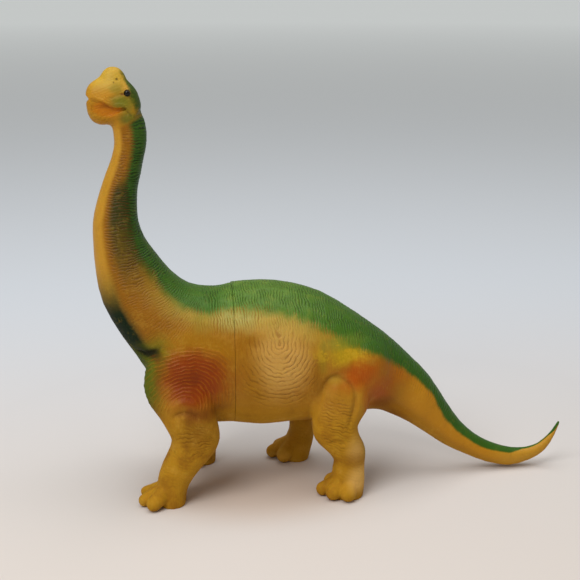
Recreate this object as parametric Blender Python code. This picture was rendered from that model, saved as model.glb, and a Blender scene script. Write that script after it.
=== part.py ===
"""Toy dinosaur figure: a long-necked plant eater, moulded as two hollow soft-vinyl shells.

The front shell has the head, the neck, the shoulders and the forelegs. Its open end carries a collar
with a snap bead. The rear shell has the torso, the hips, the hind legs and the tail, and its mouth
slides over the collar until the bead snaps into a groove. The figure faces -X, its left side is at -Y
and it stands on Z = 0. Lengths are in metres.
"""

import math

import bmesh
import bpy
from mathutils import Matrix, Vector

MM = 0.001

# Driving dimensions of the whole figure
LENGTH = 220 * MM
HEIGHT = 194 * MM
TORSO_WIDTH = 51 * MM
HEAD_WIDTH = 14.6 * MM
TRACK = 47 * MM
FORE_LEG_WIDTH = 19 * MM
HIND_LEG_WIDTH = 19 * MM

# Walls and the seam between the two shells
WALL = 2.4 * MM
FIT_GAP = 0.3 * MM
COLLAR_REACH = 8 * MM
COLLAR_ROOT = 6 * MM
COLLAR_WALL = 1.8 * MM
BEAD_HEIGHT = 0.6 * MM
BEAD_WIDTH = 2.4 * MM
SEAM_SHARE = 0.28

# Feet
TOE_REACH = 14 * MM
TOE_RADIUS = 4 * MM
TOE_RISE = 8.5 * MM

# Head
EYE_DIAMETER = 2.4 * MM
EYE_STANDOFF = 0.7 * MM
EYE_DEPTH = 1 * MM
EYE_REACH = 7 * MM
LID_WIDTH = 5 * MM
GUM_WIDTH = 4.6 * MM
LIP_NOTCH = 2.6 * MM

# Grain of the sculpted skin
GRAIN = 0.9 * MM
OVERRUN = 5 * MM
SKIN_FACETS = 7600
CORE_FACETS = 2000
SMOOTH_STEPS = 4
BODY_POINTS = 28
LEG_POINTS = 20
BODY_STEPS = 2
LEG_STEPS = 2
TOE_POINTS = 8
EYE_POINTS = 20
FULLNESS_SHARE = 0.9

# The body from the back of the head to the tip of the tail. Each rib has its upper and its lower point
# along the length and the height, its half width, and how far up its widest level lies.
BODY_RIB_SHARES = (
    (0.094, 0.928, 0.050, 0.907, 0.22, 0.50),
    (0.113, 0.877, 0.047, 0.873, 0.25, 0.50),
    (0.115, 0.831, 0.050, 0.832, 0.25, 0.50),
    (0.108, 0.795, 0.043, 0.796, 0.26, 0.50),
    (0.101, 0.758, 0.030, 0.760, 0.28, 0.50),
    (0.094, 0.726, 0.018, 0.723, 0.30, 0.50),
    (0.092, 0.691, 0.008, 0.686, 0.33, 0.50),
    (0.093, 0.652, 0.001, 0.649, 0.37, 0.50),
    (0.105, 0.609, 0.000, 0.602, 0.43, 0.50),
    (0.129, 0.569, 0.003, 0.530, 0.52, 0.50),
    (0.158, 0.526, 0.015, 0.458, 0.64, 0.50),
    (0.195, 0.494, 0.052, 0.378, 0.79, 0.48),
    (0.232, 0.486, 0.098, 0.297, 0.92, 0.46),
    (0.257, 0.487, 0.118, 0.211, 0.98, 0.45),
    (0.271, 0.491, 0.194, 0.165, 1.00, 0.45),
    (0.282, 0.494, 0.278, 0.159, 1.00, 0.45),
    (0.340, 0.499, 0.338, 0.150, 1.02, 0.45),
    (0.403, 0.491, 0.398, 0.155, 1.02, 0.45),
    (0.470, 0.466, 0.464, 0.159, 1.00, 0.45),
    (0.535, 0.420, 0.522, 0.169, 0.90, 0.46),
    (0.606, 0.362, 0.577, 0.176, 0.70, 0.48),
    (0.659, 0.306, 0.616, 0.160, 0.53, 0.50),
    (0.705, 0.249, 0.660, 0.133, 0.43, 0.50),
    (0.742, 0.184, 0.698, 0.103, 0.335, 0.50),
    (0.775, 0.130, 0.739, 0.070, 0.265, 0.50),
    (0.810, 0.092, 0.785, 0.043, 0.21, 0.50),
    (0.846, 0.068, 0.835, 0.018, 0.185, 0.50),
    (0.888, 0.052, 0.888, 0.005, 0.165, 0.50),
    (0.923, 0.049, 0.935, 0.017, 0.125, 0.50),
    (0.955, 0.060, 0.970, 0.041, 0.095, 0.50),
    (0.982, 0.089, 0.991, 0.080, 0.070, 0.50),
    (0.998, 0.120, 1.003, 0.117, 0.045, 0.50),
)
CORE_FIRST_RIB = 2
CORE_LAST_RIB = 24

# The head from the nape to the muzzle, with the half width as a share of the head's
HEAD_RIB_SHARES = (
    (0.107, 0.912, 0.080, 0.876, 0.84, 0.50),
    (0.099, 0.945, 0.071, 0.873, 0.94, 0.52),
    (0.085, 0.965, 0.060, 0.870, 1.00, 0.52),
    (0.070, 0.979, 0.050, 0.870, 1.00, 0.50),
    (0.052, 0.986, 0.039, 0.872, 0.95, 0.48),
    (0.036, 0.981, 0.028, 0.871, 0.90, 0.48),
    (0.019, 0.974, 0.016, 0.874, 0.86, 0.50),
    (0.005, 0.962, 0.005, 0.885, 0.76, 0.50),
    (-0.002, 0.948, -0.001, 0.903, 0.52, 0.50),
)

# The open mouth seen from the side: its upper lip from the front to the corner, then the lower lip back
MOUTH_SHARES = (
    (0.004, 0.937), (0.021, 0.930), (0.034, 0.923), (0.046, 0.914), (0.061, 0.912), (0.073, 0.914),
    (0.082, 0.907), (0.088, 0.897), (0.084, 0.899), (0.078, 0.907), (0.069, 0.905), (0.058, 0.900),
    (0.047, 0.894), (0.034, 0.889), (0.017, 0.891), (0.010, 0.905), (0.008, 0.923),
)

# Legs from the top down: height, front and rear edge along the length, distance from the middle of the
# body as a share of the half track, and width as a share of the leg's
LEFT_FORE_SHARES = (
    (0.320, 0.100, 0.240, 0.62, 0.95),
    (0.278, 0.094, 0.240, 0.76, 1.00),
    (0.242, 0.104, 0.238, 0.88, 1.03),
    (0.216, 0.121, 0.240, 0.94, 1.01),
    (0.180, 0.139, 0.246, 0.98, 0.97),
    (0.155, 0.148, 0.247, 1.00, 0.93),
    (0.129, 0.141, 0.239, 1.00, 0.88),
    (0.103, 0.130, 0.221, 1.00, 0.84),
    (0.072, 0.120, 0.198, 1.00, 0.82),
    (0.046, 0.116, 0.183, 1.00, 0.82),
    (0.026, 0.116, 0.177, 1.00, 0.90),
    (0.005, 0.118, 0.175, 1.00, 0.92),
    (-0.007, 0.118, 0.174, 1.00, 0.90),
)
RIGHT_FORE_SHARES = (
    (0.320, 0.115, 0.248, 0.62, 0.95),
    (0.278, 0.113, 0.250, 0.76, 1.00),
    (0.242, 0.127, 0.252, 0.88, 1.03),
    (0.216, 0.140, 0.254, 0.94, 1.01),
    (0.180, 0.155, 0.256, 0.98, 0.97),
    (0.155, 0.161, 0.255, 1.00, 0.93),
    (0.129, 0.166, 0.252, 1.00, 0.88),
    (0.103, 0.169, 0.248, 1.00, 0.84),
    (0.072, 0.170, 0.247, 1.00, 0.82),
    (0.046, 0.174, 0.247, 1.00, 0.82),
    (0.026, 0.180, 0.247, 1.00, 0.84),
    (0.005, 0.183, 0.246, 1.00, 0.84),
    (-0.007, 0.183, 0.245, 1.00, 0.80),
)
LEFT_HIND_SHARES = (
    (0.310, 0.448, 0.566, 0.55, 1.05),
    (0.268, 0.439, 0.566, 0.72, 1.05),
    (0.232, 0.437, 0.562, 0.82, 1.03),
    (0.204, 0.437, 0.551, 0.88, 0.99),
    (0.175, 0.438, 0.534, 0.93, 0.95),
    (0.149, 0.441, 0.537, 0.96, 0.88),
    (0.129, 0.453, 0.546, 0.97, 0.84),
    (0.111, 0.470, 0.550, 0.98, 0.80),
    (0.088, 0.484, 0.549, 0.98, 0.77),
    (0.067, 0.481, 0.548, 0.98, 0.78),
    (0.046, 0.479, 0.549, 0.98, 0.80),
    (0.026, 0.478, 0.548, 0.98, 0.89),
    (0.005, 0.480, 0.546, 0.98, 0.91),
    (-0.007, 0.480, 0.545, 0.98, 0.89),
)
RIGHT_HIND_SHARES = (
    (0.310, 0.420, 0.540, 0.55, 1.05),
    (0.268, 0.408, 0.530, 0.72, 1.05),
    (0.232, 0.402, 0.518, 0.82, 1.03),
    (0.186, 0.403, 0.498, 0.90, 0.97),
    (0.155, 0.407, 0.482, 0.95, 0.88),
    (0.124, 0.411, 0.471, 0.98, 0.82),
    (0.095, 0.412, 0.466, 0.98, 0.78),
    (0.077, 0.412, 0.467, 0.98, 0.77),
    (0.057, 0.405, 0.467, 0.98, 0.80),
    (0.039, 0.398, 0.464, 0.98, 0.80),
    (0.021, 0.396, 0.460, 0.98, 0.84),
    (0.005, 0.397, 0.456, 0.98, 0.84),
    (-0.007, 0.397, 0.454, 0.98, 0.80),
)
CORE_LEG_ROWS = 9

# Toes round a foot: turn outwards from straight ahead as a share of a full turn, reach, and radius at the
# tip and at the root
FORE_TOE_SHARES = (
    (-0.200, 0.90, 0.70, 0.95),
    (-0.083, 1.16, 0.62, 0.95),
    (0.045, 1.13, 0.72, 1.00),
    (0.133, 1.13, 0.85, 1.15),
)
HIND_TOE_SHARES = (
    (-0.125, 0.92, 0.95, 1.15),
    (0.007, 1.05, 0.80, 1.10),
    (0.112, 0.95, 0.88, 1.12),
    (0.232, 0.89, 0.95, 1.15),
)
LEGS = (
    (LEFT_FORE_SHARES, -1, FORE_LEG_WIDTH, FORE_TOE_SHARES),
    (RIGHT_FORE_SHARES, 1, FORE_LEG_WIDTH, FORE_TOE_SHARES),
    (LEFT_HIND_SHARES, -1, HIND_LEG_WIDTH, HIND_TOE_SHARES),
    (RIGHT_HIND_SHARES, 1, HIND_LEG_WIDTH, HIND_TOE_SHARES),
)

# Muscles that swell out of the sides: place along the length, height and half width, then half lengths
# as shares of the length, the height and the half width
SHOULDER_SHARES = (0.175, 0.315, 0.50, 0.075, 0.105, 0.54)
HIP_SHARES = (0.535, 0.290, 0.42, 0.080, 0.090, 0.52)
THIGH_PAD_SHARES = (0.489, 0.218, 0.80, 0.032, 0.088, 0.32)
CREST_SHARES = (0.052, 0.962, 0.0, 0.028, 0.040, 0.19)
JAW_CORNER_SHARES = (0.083, 0.890, 0.18, 0.015, 0.017, 0.12)
RIGHT_PAD_SHIFT_SHARE = -0.032

# The eye's and the lip notch's place along the length and the height, and the domed face of an eye from
# its rim outwards: stand-off and radius
EYE_SHARES = (0.080, 0.945)
NOTCH_SHARES = (-0.002, 0.931)
DOME_SHARES = ((0, 1), (0.5, 0.8), (1, 0.4))


def along(share):
    """A place along the figure: 0 at the front of the neck, 1 at the tip of the tail."""
    return (share - 1 / 2) * LENGTH


def smooth_rows(rows, steps):
    """Rows of numbers with in-between rows on a smooth curve through them."""
    last = len(rows) - 1
    smooth = []
    for i in range(last):
        four = (rows[max(i - 1, 0)], rows[i], rows[i + 1], rows[min(i + 2, last)])
        for k in range(steps):
            t = k / steps
            smooth.append([through(*values, t) for values in zip(*four)])
    smooth.append(list(rows[last]))
    return smooth


def through(before, here, there, after, t):
    """A cubic curve from here to there, whose slopes follow the neighbours."""
    rise = (there - before) / 2
    fall = (after - here) / 2
    span = here - there
    return here + rise * t + (-3 * span - 2 * rise - fall) * t ** 2 + (2 * span + rise + fall) * t ** 3


def full(value):
    """A sine or cosine made a little fuller, so that an oval's flanks are less round."""
    return math.copysign(abs(value) ** FULLNESS_SHARE, value)


def rib_ring(row, width, inset, points):
    """An oval ring across the body, in the plane through its upper and its lower point."""
    top_x, top_z, low_x, low_z, width_share, level_share = row
    top = Vector((along(top_x), 0, top_z * HEIGHT))
    low = Vector((along(low_x), 0, low_z * HEIGHT))
    up = (top - low).normalized()
    height = (top - low).length
    middle = low + up * height * level_share
    upper = height * (1 - level_share) - inset
    lower = height * level_share - inset
    side = width_share * width / 2 - inset
    ring = []
    for i in range(points):
        angle = 2 * math.pi * i / points
        rise = full(math.cos(angle))
        reach = upper if rise > 0 else lower
        ring.append(middle + up * reach * rise + Vector((0, side * full(math.sin(angle)), 0)))
    return ring


def body_rings(inset, rows=BODY_RIB_SHARES):
    return [rib_ring(row, TORSO_WIDTH, inset, BODY_POINTS) for row in smooth_rows(rows, BODY_STEPS)]


def leg_rings(rows, side, width, inset):
    """Level oval rings down a leg on the side -1 or 1."""
    rings = []
    for height, front, rear, out, wide in smooth_rows(rows, LEG_STEPS):
        middle = Vector((along((front + rear) / 2), side * out * TRACK / 2, height * HEIGHT))
        half_length = (rear - front) * LENGTH / 2 - inset
        half_width = wide * width / 2 - inset
        ring = []
        for i in range(LEG_POINTS):
            angle = 2 * math.pi * i / LEG_POINTS
            spoke = Vector((half_length * full(math.cos(angle)), half_width * full(math.sin(angle)), 0))
            ring.append(middle + spoke)
        rings.append(ring)
    return rings


def add_object(name, shape):
    mesh = bpy.data.meshes.new(name)
    shape.to_mesh(mesh)
    shape.free()
    thing = bpy.data.objects.new(name, mesh)
    bpy.context.scene.collection.objects.link(thing)
    return thing


def fill_loft(shape, rings):
    """Add a closed form through rings of as many points each, with both ends capped."""
    rows = [[shape.verts.new(point) for point in ring] for ring in rings]
    faces = [shape.faces.new(rows[0]), shape.faces.new(rows[-1])]
    for here, there in zip(rows, rows[1:]):
        for i in range(len(here)):
            faces.append(shape.faces.new((here[i - 1], here[i], there[i], there[i - 1])))
    bmesh.ops.recalc_face_normals(shape, faces=faces)


def fill_bulge(shape, middle, halves):
    """Add an ellipsoid."""
    place = Matrix.Translation(middle) @ Matrix.Diagonal((*halves, 1))
    bmesh.ops.create_uvsphere(shape, u_segments=20, v_segments=12, radius=1, matrix=place)


def loft(name, rings):
    shape = bmesh.new()
    fill_loft(shape, rings)
    return add_object(name, shape)


def block(name, low, high):
    shape = bmesh.new()
    size = high - low
    place = Matrix.Translation((low + high) / 2) @ Matrix.Diagonal((*size, 1))
    bmesh.ops.create_cube(shape, size=1, matrix=place)
    return add_object(name, shape)


def drum(name, middle, radius, depth, turn, points):
    """A round bar about a turned Z axis."""
    shape = bmesh.new()
    place = Matrix.Translation(middle) @ turn
    bmesh.ops.create_cone(shape, cap_ends=True, segments=points, radius1=radius, radius2=radius,
                          depth=depth, matrix=place)
    return add_object(name, shape)


def hide(cutter):
    cutter.hide_render = True
    cutter.display_type = "WIRE"
    return cutter


def cut(thing, cutter, operation="DIFFERENCE"):
    boolean = thing.modifiers.new(f"{operation.lower()} {cutter.name}", "BOOLEAN")
    boolean.operation = operation
    boolean.object = hide(cutter)


def settle(thing):
    """The thing's evaluated mesh, as a mesh of its own."""
    bpy.context.view_layer.update()
    return bpy.data.meshes.new_from_object(thing.evaluated_get(bpy.context.evaluated_depsgraph_get()))


def remove(things):
    for thing in things:
        bpy.data.objects.remove(thing)


def fill_swelling(shape, shares, side, shift=0):
    x, z, out, half_x, half_z, half_y = shares
    middle = Vector((along(x + shift), side * out * TORSO_WIDTH / 2, z * HEIGHT))
    fill_bulge(shape, middle, (half_x * LENGTH, half_y * TORSO_WIDTH / 2, half_z * HEIGHT))


def toe_rings(root, tip, root_radius, tip_radius):
    """Rings of a toe that tapers from a round root to a round tip."""
    ahead = (tip - root).normalized()
    across = ahead.cross(Vector((0, 0, 1))).normalized()
    up = across.cross(ahead)
    rings = []
    for i in range(TOE_POINTS):
        turn = math.pi * (i + 1 / 2) / TOE_POINTS
        middle, radius = (root, root_radius) if i < TOE_POINTS / 2 else (tip, tip_radius)
        centre = middle - ahead * radius * math.cos(turn)
        ring = []
        for k in range(2 * TOE_POINTS):
            angle = math.pi * k / TOE_POINTS
            ring.append(centre + (across * math.cos(angle) + up * math.sin(angle)) * radius * math.sin(turn))
        rings.append(ring)
    return rings


def fill_foot(shape, rows, side, toes):
    """The toes round the front and the outer side of a foot."""
    height, front, rear, out, wide = rows[-2]
    middle = Vector((along((front + rear) / 2), side * out * TRACK / 2, 0))
    root = middle + Vector((0, 0, TOE_RISE))
    for turn_share, reach, tip_share, root_share in toes:
        turn = 2 * math.pi * turn_share
        ahead = Vector((-math.cos(turn), side * math.sin(turn), 0))
        radius = tip_share * TOE_RADIUS
        tip = middle + ahead * (reach * TOE_REACH - radius) + Vector((0, 0, radius))
        fill_loft(shape, toe_rings(root, tip, root_share * TOE_RADIUS, radius))


def mouth_cutter(side):
    """The recess of the open mouth on one side, which leaves the gum in the middle."""
    shape = bmesh.new()
    inner = side * GUM_WIDTH / 2
    outer = side * (HEAD_WIDTH / 2 + OVERRUN)
    rings = [[Vector((along(x), y, z * HEIGHT)) for x, z in MOUTH_SHARES] for y in (inner, outer)]
    fill_loft(shape, rings)
    return add_object("mouth recess", shape)


def eye_place(side, reach):
    x, z = EYE_SHARES
    return Vector((along(x), side * reach, z * HEIGHT))


def sculpt_skin():
    """The outer form of the whole figure, closed and even, before it is parted into shells."""
    shape = bmesh.new()
    fill_loft(shape, body_rings(0))
    head_rows = smooth_rows(HEAD_RIB_SHARES, BODY_STEPS)
    fill_loft(shape, [rib_ring(row, HEAD_WIDTH, 0, BODY_POINTS) for row in head_rows])
    fill_swelling(shape, CREST_SHARES, 1)
    for rows, side, width, toes in LEGS:
        fill_loft(shape, leg_rings(rows, side, width, 0))
        fill_foot(shape, rows, side, toes)
    for side in (-1, 1):
        for shares in (SHOULDER_SHARES, HIP_SHARES, JAW_CORNER_SHARES):
            fill_swelling(shape, shares, side)
        fill_bulge(shape, eye_place(side, EYE_REACH - LID_WIDTH / 2), [LID_WIDTH / 2] * 3)
    fill_swelling(shape, THIGH_PAD_SHARES, -1)
    fill_swelling(shape, THIGH_PAD_SHARES, 1, RIGHT_PAD_SHIFT_SHARE)
    figure = add_object("figure", shape)
    even_out(figure)
    x, z = NOTCH_SHARES
    notch = drum("lip notch", Vector((along(x), 0, z * HEIGHT)), LIP_NOTCH / 2, HEAD_WIDTH,
                 Matrix.Rotation(math.pi / 2, 4, "X"), EYE_POINTS)
    cutters = [mouth_cutter(-1), mouth_cutter(1), notch]
    for cutter in cutters:
        cut(figure, cutter)
    even_out(figure)
    thin_out(figure, SKIN_FACETS)
    skin = settle(figure)
    remove([figure, *cutters])
    return skin


def even_out(figure):
    even = figure.modifiers.new("even grain", "REMESH")
    even.mode = "VOXEL"
    even.voxel_size = GRAIN


def hollow_core():
    """The space inside both shells: the body and the upper legs, each a wall's thickness smaller."""
    shape = bmesh.new()
    fill_loft(shape, body_rings(WALL, BODY_RIB_SHARES[CORE_FIRST_RIB:CORE_LAST_RIB]))
    for rows, side, width, toes in LEGS:
        fill_loft(shape, leg_rings(rows[:CORE_LEG_ROWS], side, width, WALL))
    core = add_object("core", shape)
    even_out(core)
    thin_out(core, CORE_FACETS)
    core.data = settle(core)
    core.modifiers.clear()
    return core


def thin_out(thing, facets):
    """Soften the grain, then leave as many triangles as the facets ask."""
    soften = thing.modifiers.new("soften", "SMOOTH")
    soften.iterations = SMOOTH_STEPS
    fine = settle(thing)
    thin = thing.modifiers.new("thin out", "DECIMATE")
    thin.ratio = facets / (2 * len(fine.polygons))


def section(place, inset):
    """The body's outline where a plane across its length meets it, drawn in by the inset."""
    rings = body_rings(inset)
    ring = []
    for i in range(BODY_POINTS):
        line = [row[i] for row in rings]
        for here, there in zip(line, line[1:]):
            if here.x < place <= there.x:
                ring.append(here.lerp(there, (place - here.x) / (there.x - here.x)))
                break
    return ring


def seam_loft(name, profile):
    """A closed form along the body at the seam, from places behind the seam and insets."""
    return loft(name, [section(along(SEAM_SHARE) + place, inset) for place, inset in profile])


def collar_forms():
    """The collar's plug, the bore through it, and the mouth that it needs in the rear shell."""
    outer = WALL + FIT_GAP
    bead = COLLAR_REACH - BEAD_WIDTH
    deep = COLLAR_REACH + COLLAR_ROOT
    plug = seam_loft("collar plug", (
        (-COLLAR_ROOT, WALL / 2), (-FIT_GAP, WALL / 2), (-FIT_GAP, outer),
        (bead - BEAD_WIDTH / 2, outer), (bead, outer - BEAD_HEIGHT), (bead + BEAD_WIDTH / 2, outer),
        (COLLAR_REACH, outer + BEAD_HEIGHT)))
    bore = seam_loft("collar bore", (
        (-COLLAR_ROOT - OVERRUN, outer + COLLAR_WALL), (COLLAR_REACH + OVERRUN, outer + COLLAR_WALL)))
    mouth = seam_loft("mouth", (
        (-OVERRUN, WALL), (bead - BEAD_WIDTH / 2 - FIT_GAP, WALL), (bead, WALL - BEAD_HEIGHT - FIT_GAP),
        (bead + BEAD_WIDTH / 2 + FIT_GAP, WALL), (deep, WALL), (deep + WALL, 2 * WALL)))
    return plug, bore, mouth


def halves():
    """Blocks that take away all behind and all before the seam, and all below the ground."""
    seam = along(SEAM_SHARE)
    reach = LENGTH + HEIGHT
    low = Vector((-reach, -reach, -reach))
    high = Vector((reach, reach, reach))
    behind = block("behind the seam", Vector((seam - FIT_GAP / 2, low.y, low.z)), high)
    before = block("before the seam", low, Vector((seam + FIT_GAP / 2, high.y, high.z)))
    ground = block("ground", low, Vector((high.x, high.y, 0)))
    return behind, before, ground


def plastic(name, colour, roughness):
    material = bpy.data.materials.new(name)
    material.use_nodes = True
    shader = material.node_tree.nodes["Principled BSDF"]
    shader.inputs["Base Color"].default_value = (*colour, 1)
    shader.inputs["Roughness"].default_value = roughness
    shader.inputs["Metallic"].default_value = 0
    return material


def finish(thing, material):
    thing.data.materials.clear()
    thing.data.materials.append(material)
    thing.data.shade_smooth()


def make_shell(name, skin, steps, colour, roughness):
    """A shell as the skin with a row of cuts and additions."""
    shell = bpy.data.objects.new(name, skin)
    bpy.context.scene.collection.objects.link(shell)
    for cutter, operation in steps:
        cut(shell, cutter, operation)
    finish(shell, plastic(name, colour, roughness))
    return shell


def make_eye(name, side, material):
    """A drop of lacquer with a domed face, whose foot sits in the eye's socket."""
    radius = EYE_DIAMETER / 2
    profile = [(EYE_DEPTH, 1)] + [(-rise * EYE_STANDOFF, share) for rise, share in DOME_SHARES]
    place = eye_place(side, EYE_REACH)
    rings = []
    for depth, share in profile:
        ring = []
        for i in range(EYE_POINTS):
            angle = 2 * math.pi * i / EYE_POINTS
            spoke = Vector((math.cos(angle), 0, math.sin(angle))) * radius * share
            ring.append(place + spoke - Vector((0, side * depth, 0)))
        rings.append(ring)
    eye = loft(name, rings)
    finish(eye, material)


def eye_socket(side):
    place = eye_place(side, EYE_REACH - EYE_DEPTH - FIT_GAP + OVERRUN / 2)
    return drum("eye socket", place, EYE_DIAMETER / 2 + FIT_GAP, OVERRUN,
                Matrix.Rotation(math.pi / 2, 4, "X"), EYE_POINTS)


def main():
    for thing in list(bpy.data.objects):
        bpy.data.objects.remove(thing)
    skin = sculpt_skin()
    core = hollow_core()
    plug, bore, mouth = collar_forms()
    behind, before, ground = halves()
    front_steps = ((behind, "DIFFERENCE"), (core, "DIFFERENCE"), (plug, "UNION"), (bore, "DIFFERENCE"),
                   (ground, "DIFFERENCE"), (eye_socket(-1), "DIFFERENCE"), (eye_socket(1), "DIFFERENCE"))
    rear_steps = ((before, "DIFFERENCE"), (core, "DIFFERENCE"), (mouth, "DIFFERENCE"),
                  (ground, "DIFFERENCE"))
    make_shell("front_shell", skin, front_steps, (0.60, 0.33, 0.06), 0.45)
    make_shell("rear_shell", skin.copy(), rear_steps, (0.58, 0.31, 0.06), 0.45)
    gloss = plastic("eye lacquer", (0.01, 0.008, 0.006), 0.12)
    make_eye("left_eye", -1, gloss)
    make_eye("right_eye", 1, gloss)


if __name__ == "__main__":
    main()
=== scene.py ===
"""Painted look of a toy long-necked dinosaur, moulded in soft vinyl as two hollow shells.

The skin is built again at a finer grain from the same ribs as the solid model, then pressed with folds
and covered with wrinkles. The front and the rear shell are cut from it, with the collar between them.
The figure faces -X, its left side is at -Y and it stands on Z = 0. Lengths are in metres.
"""

import math

import bmesh
import bpy
import numpy as np
from bpy.props import FloatProperty, FloatVectorProperty, IntProperty, PointerProperty
from mathutils import Matrix, Vector


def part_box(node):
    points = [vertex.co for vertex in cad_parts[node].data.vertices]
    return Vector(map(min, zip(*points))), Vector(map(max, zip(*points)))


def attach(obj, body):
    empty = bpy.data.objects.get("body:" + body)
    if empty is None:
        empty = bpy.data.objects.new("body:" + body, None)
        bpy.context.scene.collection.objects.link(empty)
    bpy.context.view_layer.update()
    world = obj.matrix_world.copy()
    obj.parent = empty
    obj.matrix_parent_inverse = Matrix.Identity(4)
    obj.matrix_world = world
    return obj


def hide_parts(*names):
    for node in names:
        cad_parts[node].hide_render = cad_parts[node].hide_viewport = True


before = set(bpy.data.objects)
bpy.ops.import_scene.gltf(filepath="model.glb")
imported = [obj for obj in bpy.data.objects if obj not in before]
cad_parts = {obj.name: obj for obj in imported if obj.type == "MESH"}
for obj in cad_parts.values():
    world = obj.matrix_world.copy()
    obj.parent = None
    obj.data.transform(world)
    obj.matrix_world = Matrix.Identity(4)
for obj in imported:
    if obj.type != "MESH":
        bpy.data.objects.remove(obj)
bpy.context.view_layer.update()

bl_info = {
    "name": "Toy dinosaur figure",
    "version": (1, 0, 0),
    "blender": (4, 5, 0),
    "location": "3D View > Sidebar > Figure",
    "description": "Builds the painted vinyl shells, the eyes and the studio of a toy dinosaur",
    "category": "Add Mesh",
}

MM = 0.001

LENGTH = 220 * MM
HEIGHT = 194 * MM
TORSO_WIDTH = 51 * MM
HEAD_WIDTH = 14.6 * MM
TRACK = 47 * MM
LEG_WIDTH = 19 * MM

WALL = 2.4 * MM
FIT_GAP = 0.3 * MM
COLLAR_REACH = 8 * MM
COLLAR_ROOT = 6 * MM
COLLAR_WALL = 1.8 * MM
BEAD_HEIGHT = 0.6 * MM
BEAD_WIDTH = 2.4 * MM
SEAM_SHARE = 0.28
SEAM_GAP = 0.16 * MM
SEAM_STEP = 0.4 * MM
SEAM_FADE = 9 * MM

EYE_DIAMETER = 2.4 * MM
EYE_DEPTH = 1 * MM
EYE_REACH = 7 * MM
LID_WIDTH = 5 * MM
GUM_WIDTH = 10.4 * MM
LIP_NOTCH = 2.6 * MM
OVERRUN = 5 * MM

FORM_GRAIN = 0.9 * MM
FORM_ROUNDS = 4
HIP_ROUNDS = 60
CORE_FACETS = 2000
SHELL_FACETS = 186000
BODY_POINTS = 28
LEG_POINTS = 20
STEPS = 2
RUN_STEPS = 4
FULLNESS = 0.9
SHARP_ANGLE = math.radians(55)
FOLD_TAPER = (-0.05, 0.3)
FOLD_KEENNESS = 1.6
POINTS_AT_ONCE = 40000
TINY = 1e-12
EYE_POINTS = 40
EYE_RINGS = 8

# The camera that was fitted to the photo: turn to the side, tilt, and distance and aim in millimetres
CAMERA_TURN = math.radians(-6)
CAMERA_TILT = math.radians(15)
CAMERA_DISTANCE = 560
CAMERA_AIM = (-21.4, 0, 92.06)

# Lamps: size, place and the point at which each one looks
KEY_LAMP = (0.58, (-0.47, -0.59, 0.84), (0, 0, 0.07))
TOP_LAMP = (0.9, (0.05, 0.05, 1.1), (0, 0, 0.05))

# Where a warm shadow under the figure, tinted as by light off the figure, is painted into the floor: middle
# and half size along X and Y
PAINTED_FLOOR_SHADOW = ((-0.038, 0.055), (-0.015, 0.042))

# Middles of the arched lines, of the whorls, and of the creases that fan out from the elbow and the lips
ARCH_MIDDLE = (0.175, 0.235)
WHORL_MIDDLE = (0.370, 0.378)
ELBOW_FAN = (0.275, 0.168)
LIP_FAN = (0.066, 0.915)


def thousandths(*rows):
    """Rows of shares that are written in thousandths."""
    return tuple(tuple(number / 1000 for number in row) for row in rows)


# Body ribs from the back of the head to the tip of the tail: upper point and lower point along the
# length and the height, half width, and how far up the widest level lies
BODY_RIBS = thousandths(
    (94, 928, 50, 907, 220, 500), (113, 877, 47, 873, 250, 500), (115, 831, 50, 832, 250, 500),
    (108, 795, 43, 796, 260, 500), (101, 758, 30, 760, 280, 500), (94, 726, 18, 723, 300, 500),
    (92, 691, 8, 686, 330, 500), (93, 652, 1, 649, 370, 500), (105, 609, 0, 602, 430, 500),
    (129, 569, 3, 530, 520, 500), (158, 526, 15, 458, 640, 500), (195, 494, 52, 378, 790, 480),
    (232, 486, 98, 297, 920, 460), (257, 487, 118, 211, 980, 450), (271, 491, 194, 165, 1000, 450),
    (282, 494, 278, 159, 1000, 450), (340, 499, 338, 150, 1020, 450), (403, 491, 398, 155, 1020, 450),
    (470, 466, 464, 159, 1000, 450), (535, 420, 522, 169, 900, 460), (606, 362, 577, 176, 700, 480),
    (659, 306, 616, 160, 530, 500), (705, 249, 660, 133, 430, 500), (742, 184, 698, 103, 335, 500),
    (775, 130, 739, 70, 265, 500), (810, 92, 785, 43, 210, 500), (846, 68, 835, 18, 185, 500),
    (888, 52, 888, 5, 165, 500), (923, 49, 935, 17, 125, 500), (955, 60, 970, 41, 95, 500),
    (982, 89, 991, 80, 70, 500), (998, 120, 1003, 117, 45, 500),
)
CORE_RIBS = slice(2, 24)

HEAD_RIBS = thousandths(
    (107, 912, 80, 876, 840, 500), (99, 945, 71, 873, 940, 520), (85, 965, 60, 870, 1000, 520),
    (70, 979, 50, 870, 1000, 500), (52, 986, 39, 872, 950, 480), (36, 981, 28, 871, 900, 480),
    (19, 974, 16, 874, 860, 500), (5, 962, 5, 885, 760, 500), (-2, 948, -1, 903, 520, 500),
)

MOUTH_LINE = thousandths(
    (4, 937), (21, 930), (34, 923), (46, 914), (61, 912), (73, 914), (82, 907), (88, 897), (84, 899),
    (78, 907), (69, 905), (58, 900), (47, 894), (34, 889), (17, 891), (10, 905), (8, 923),
)

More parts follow.
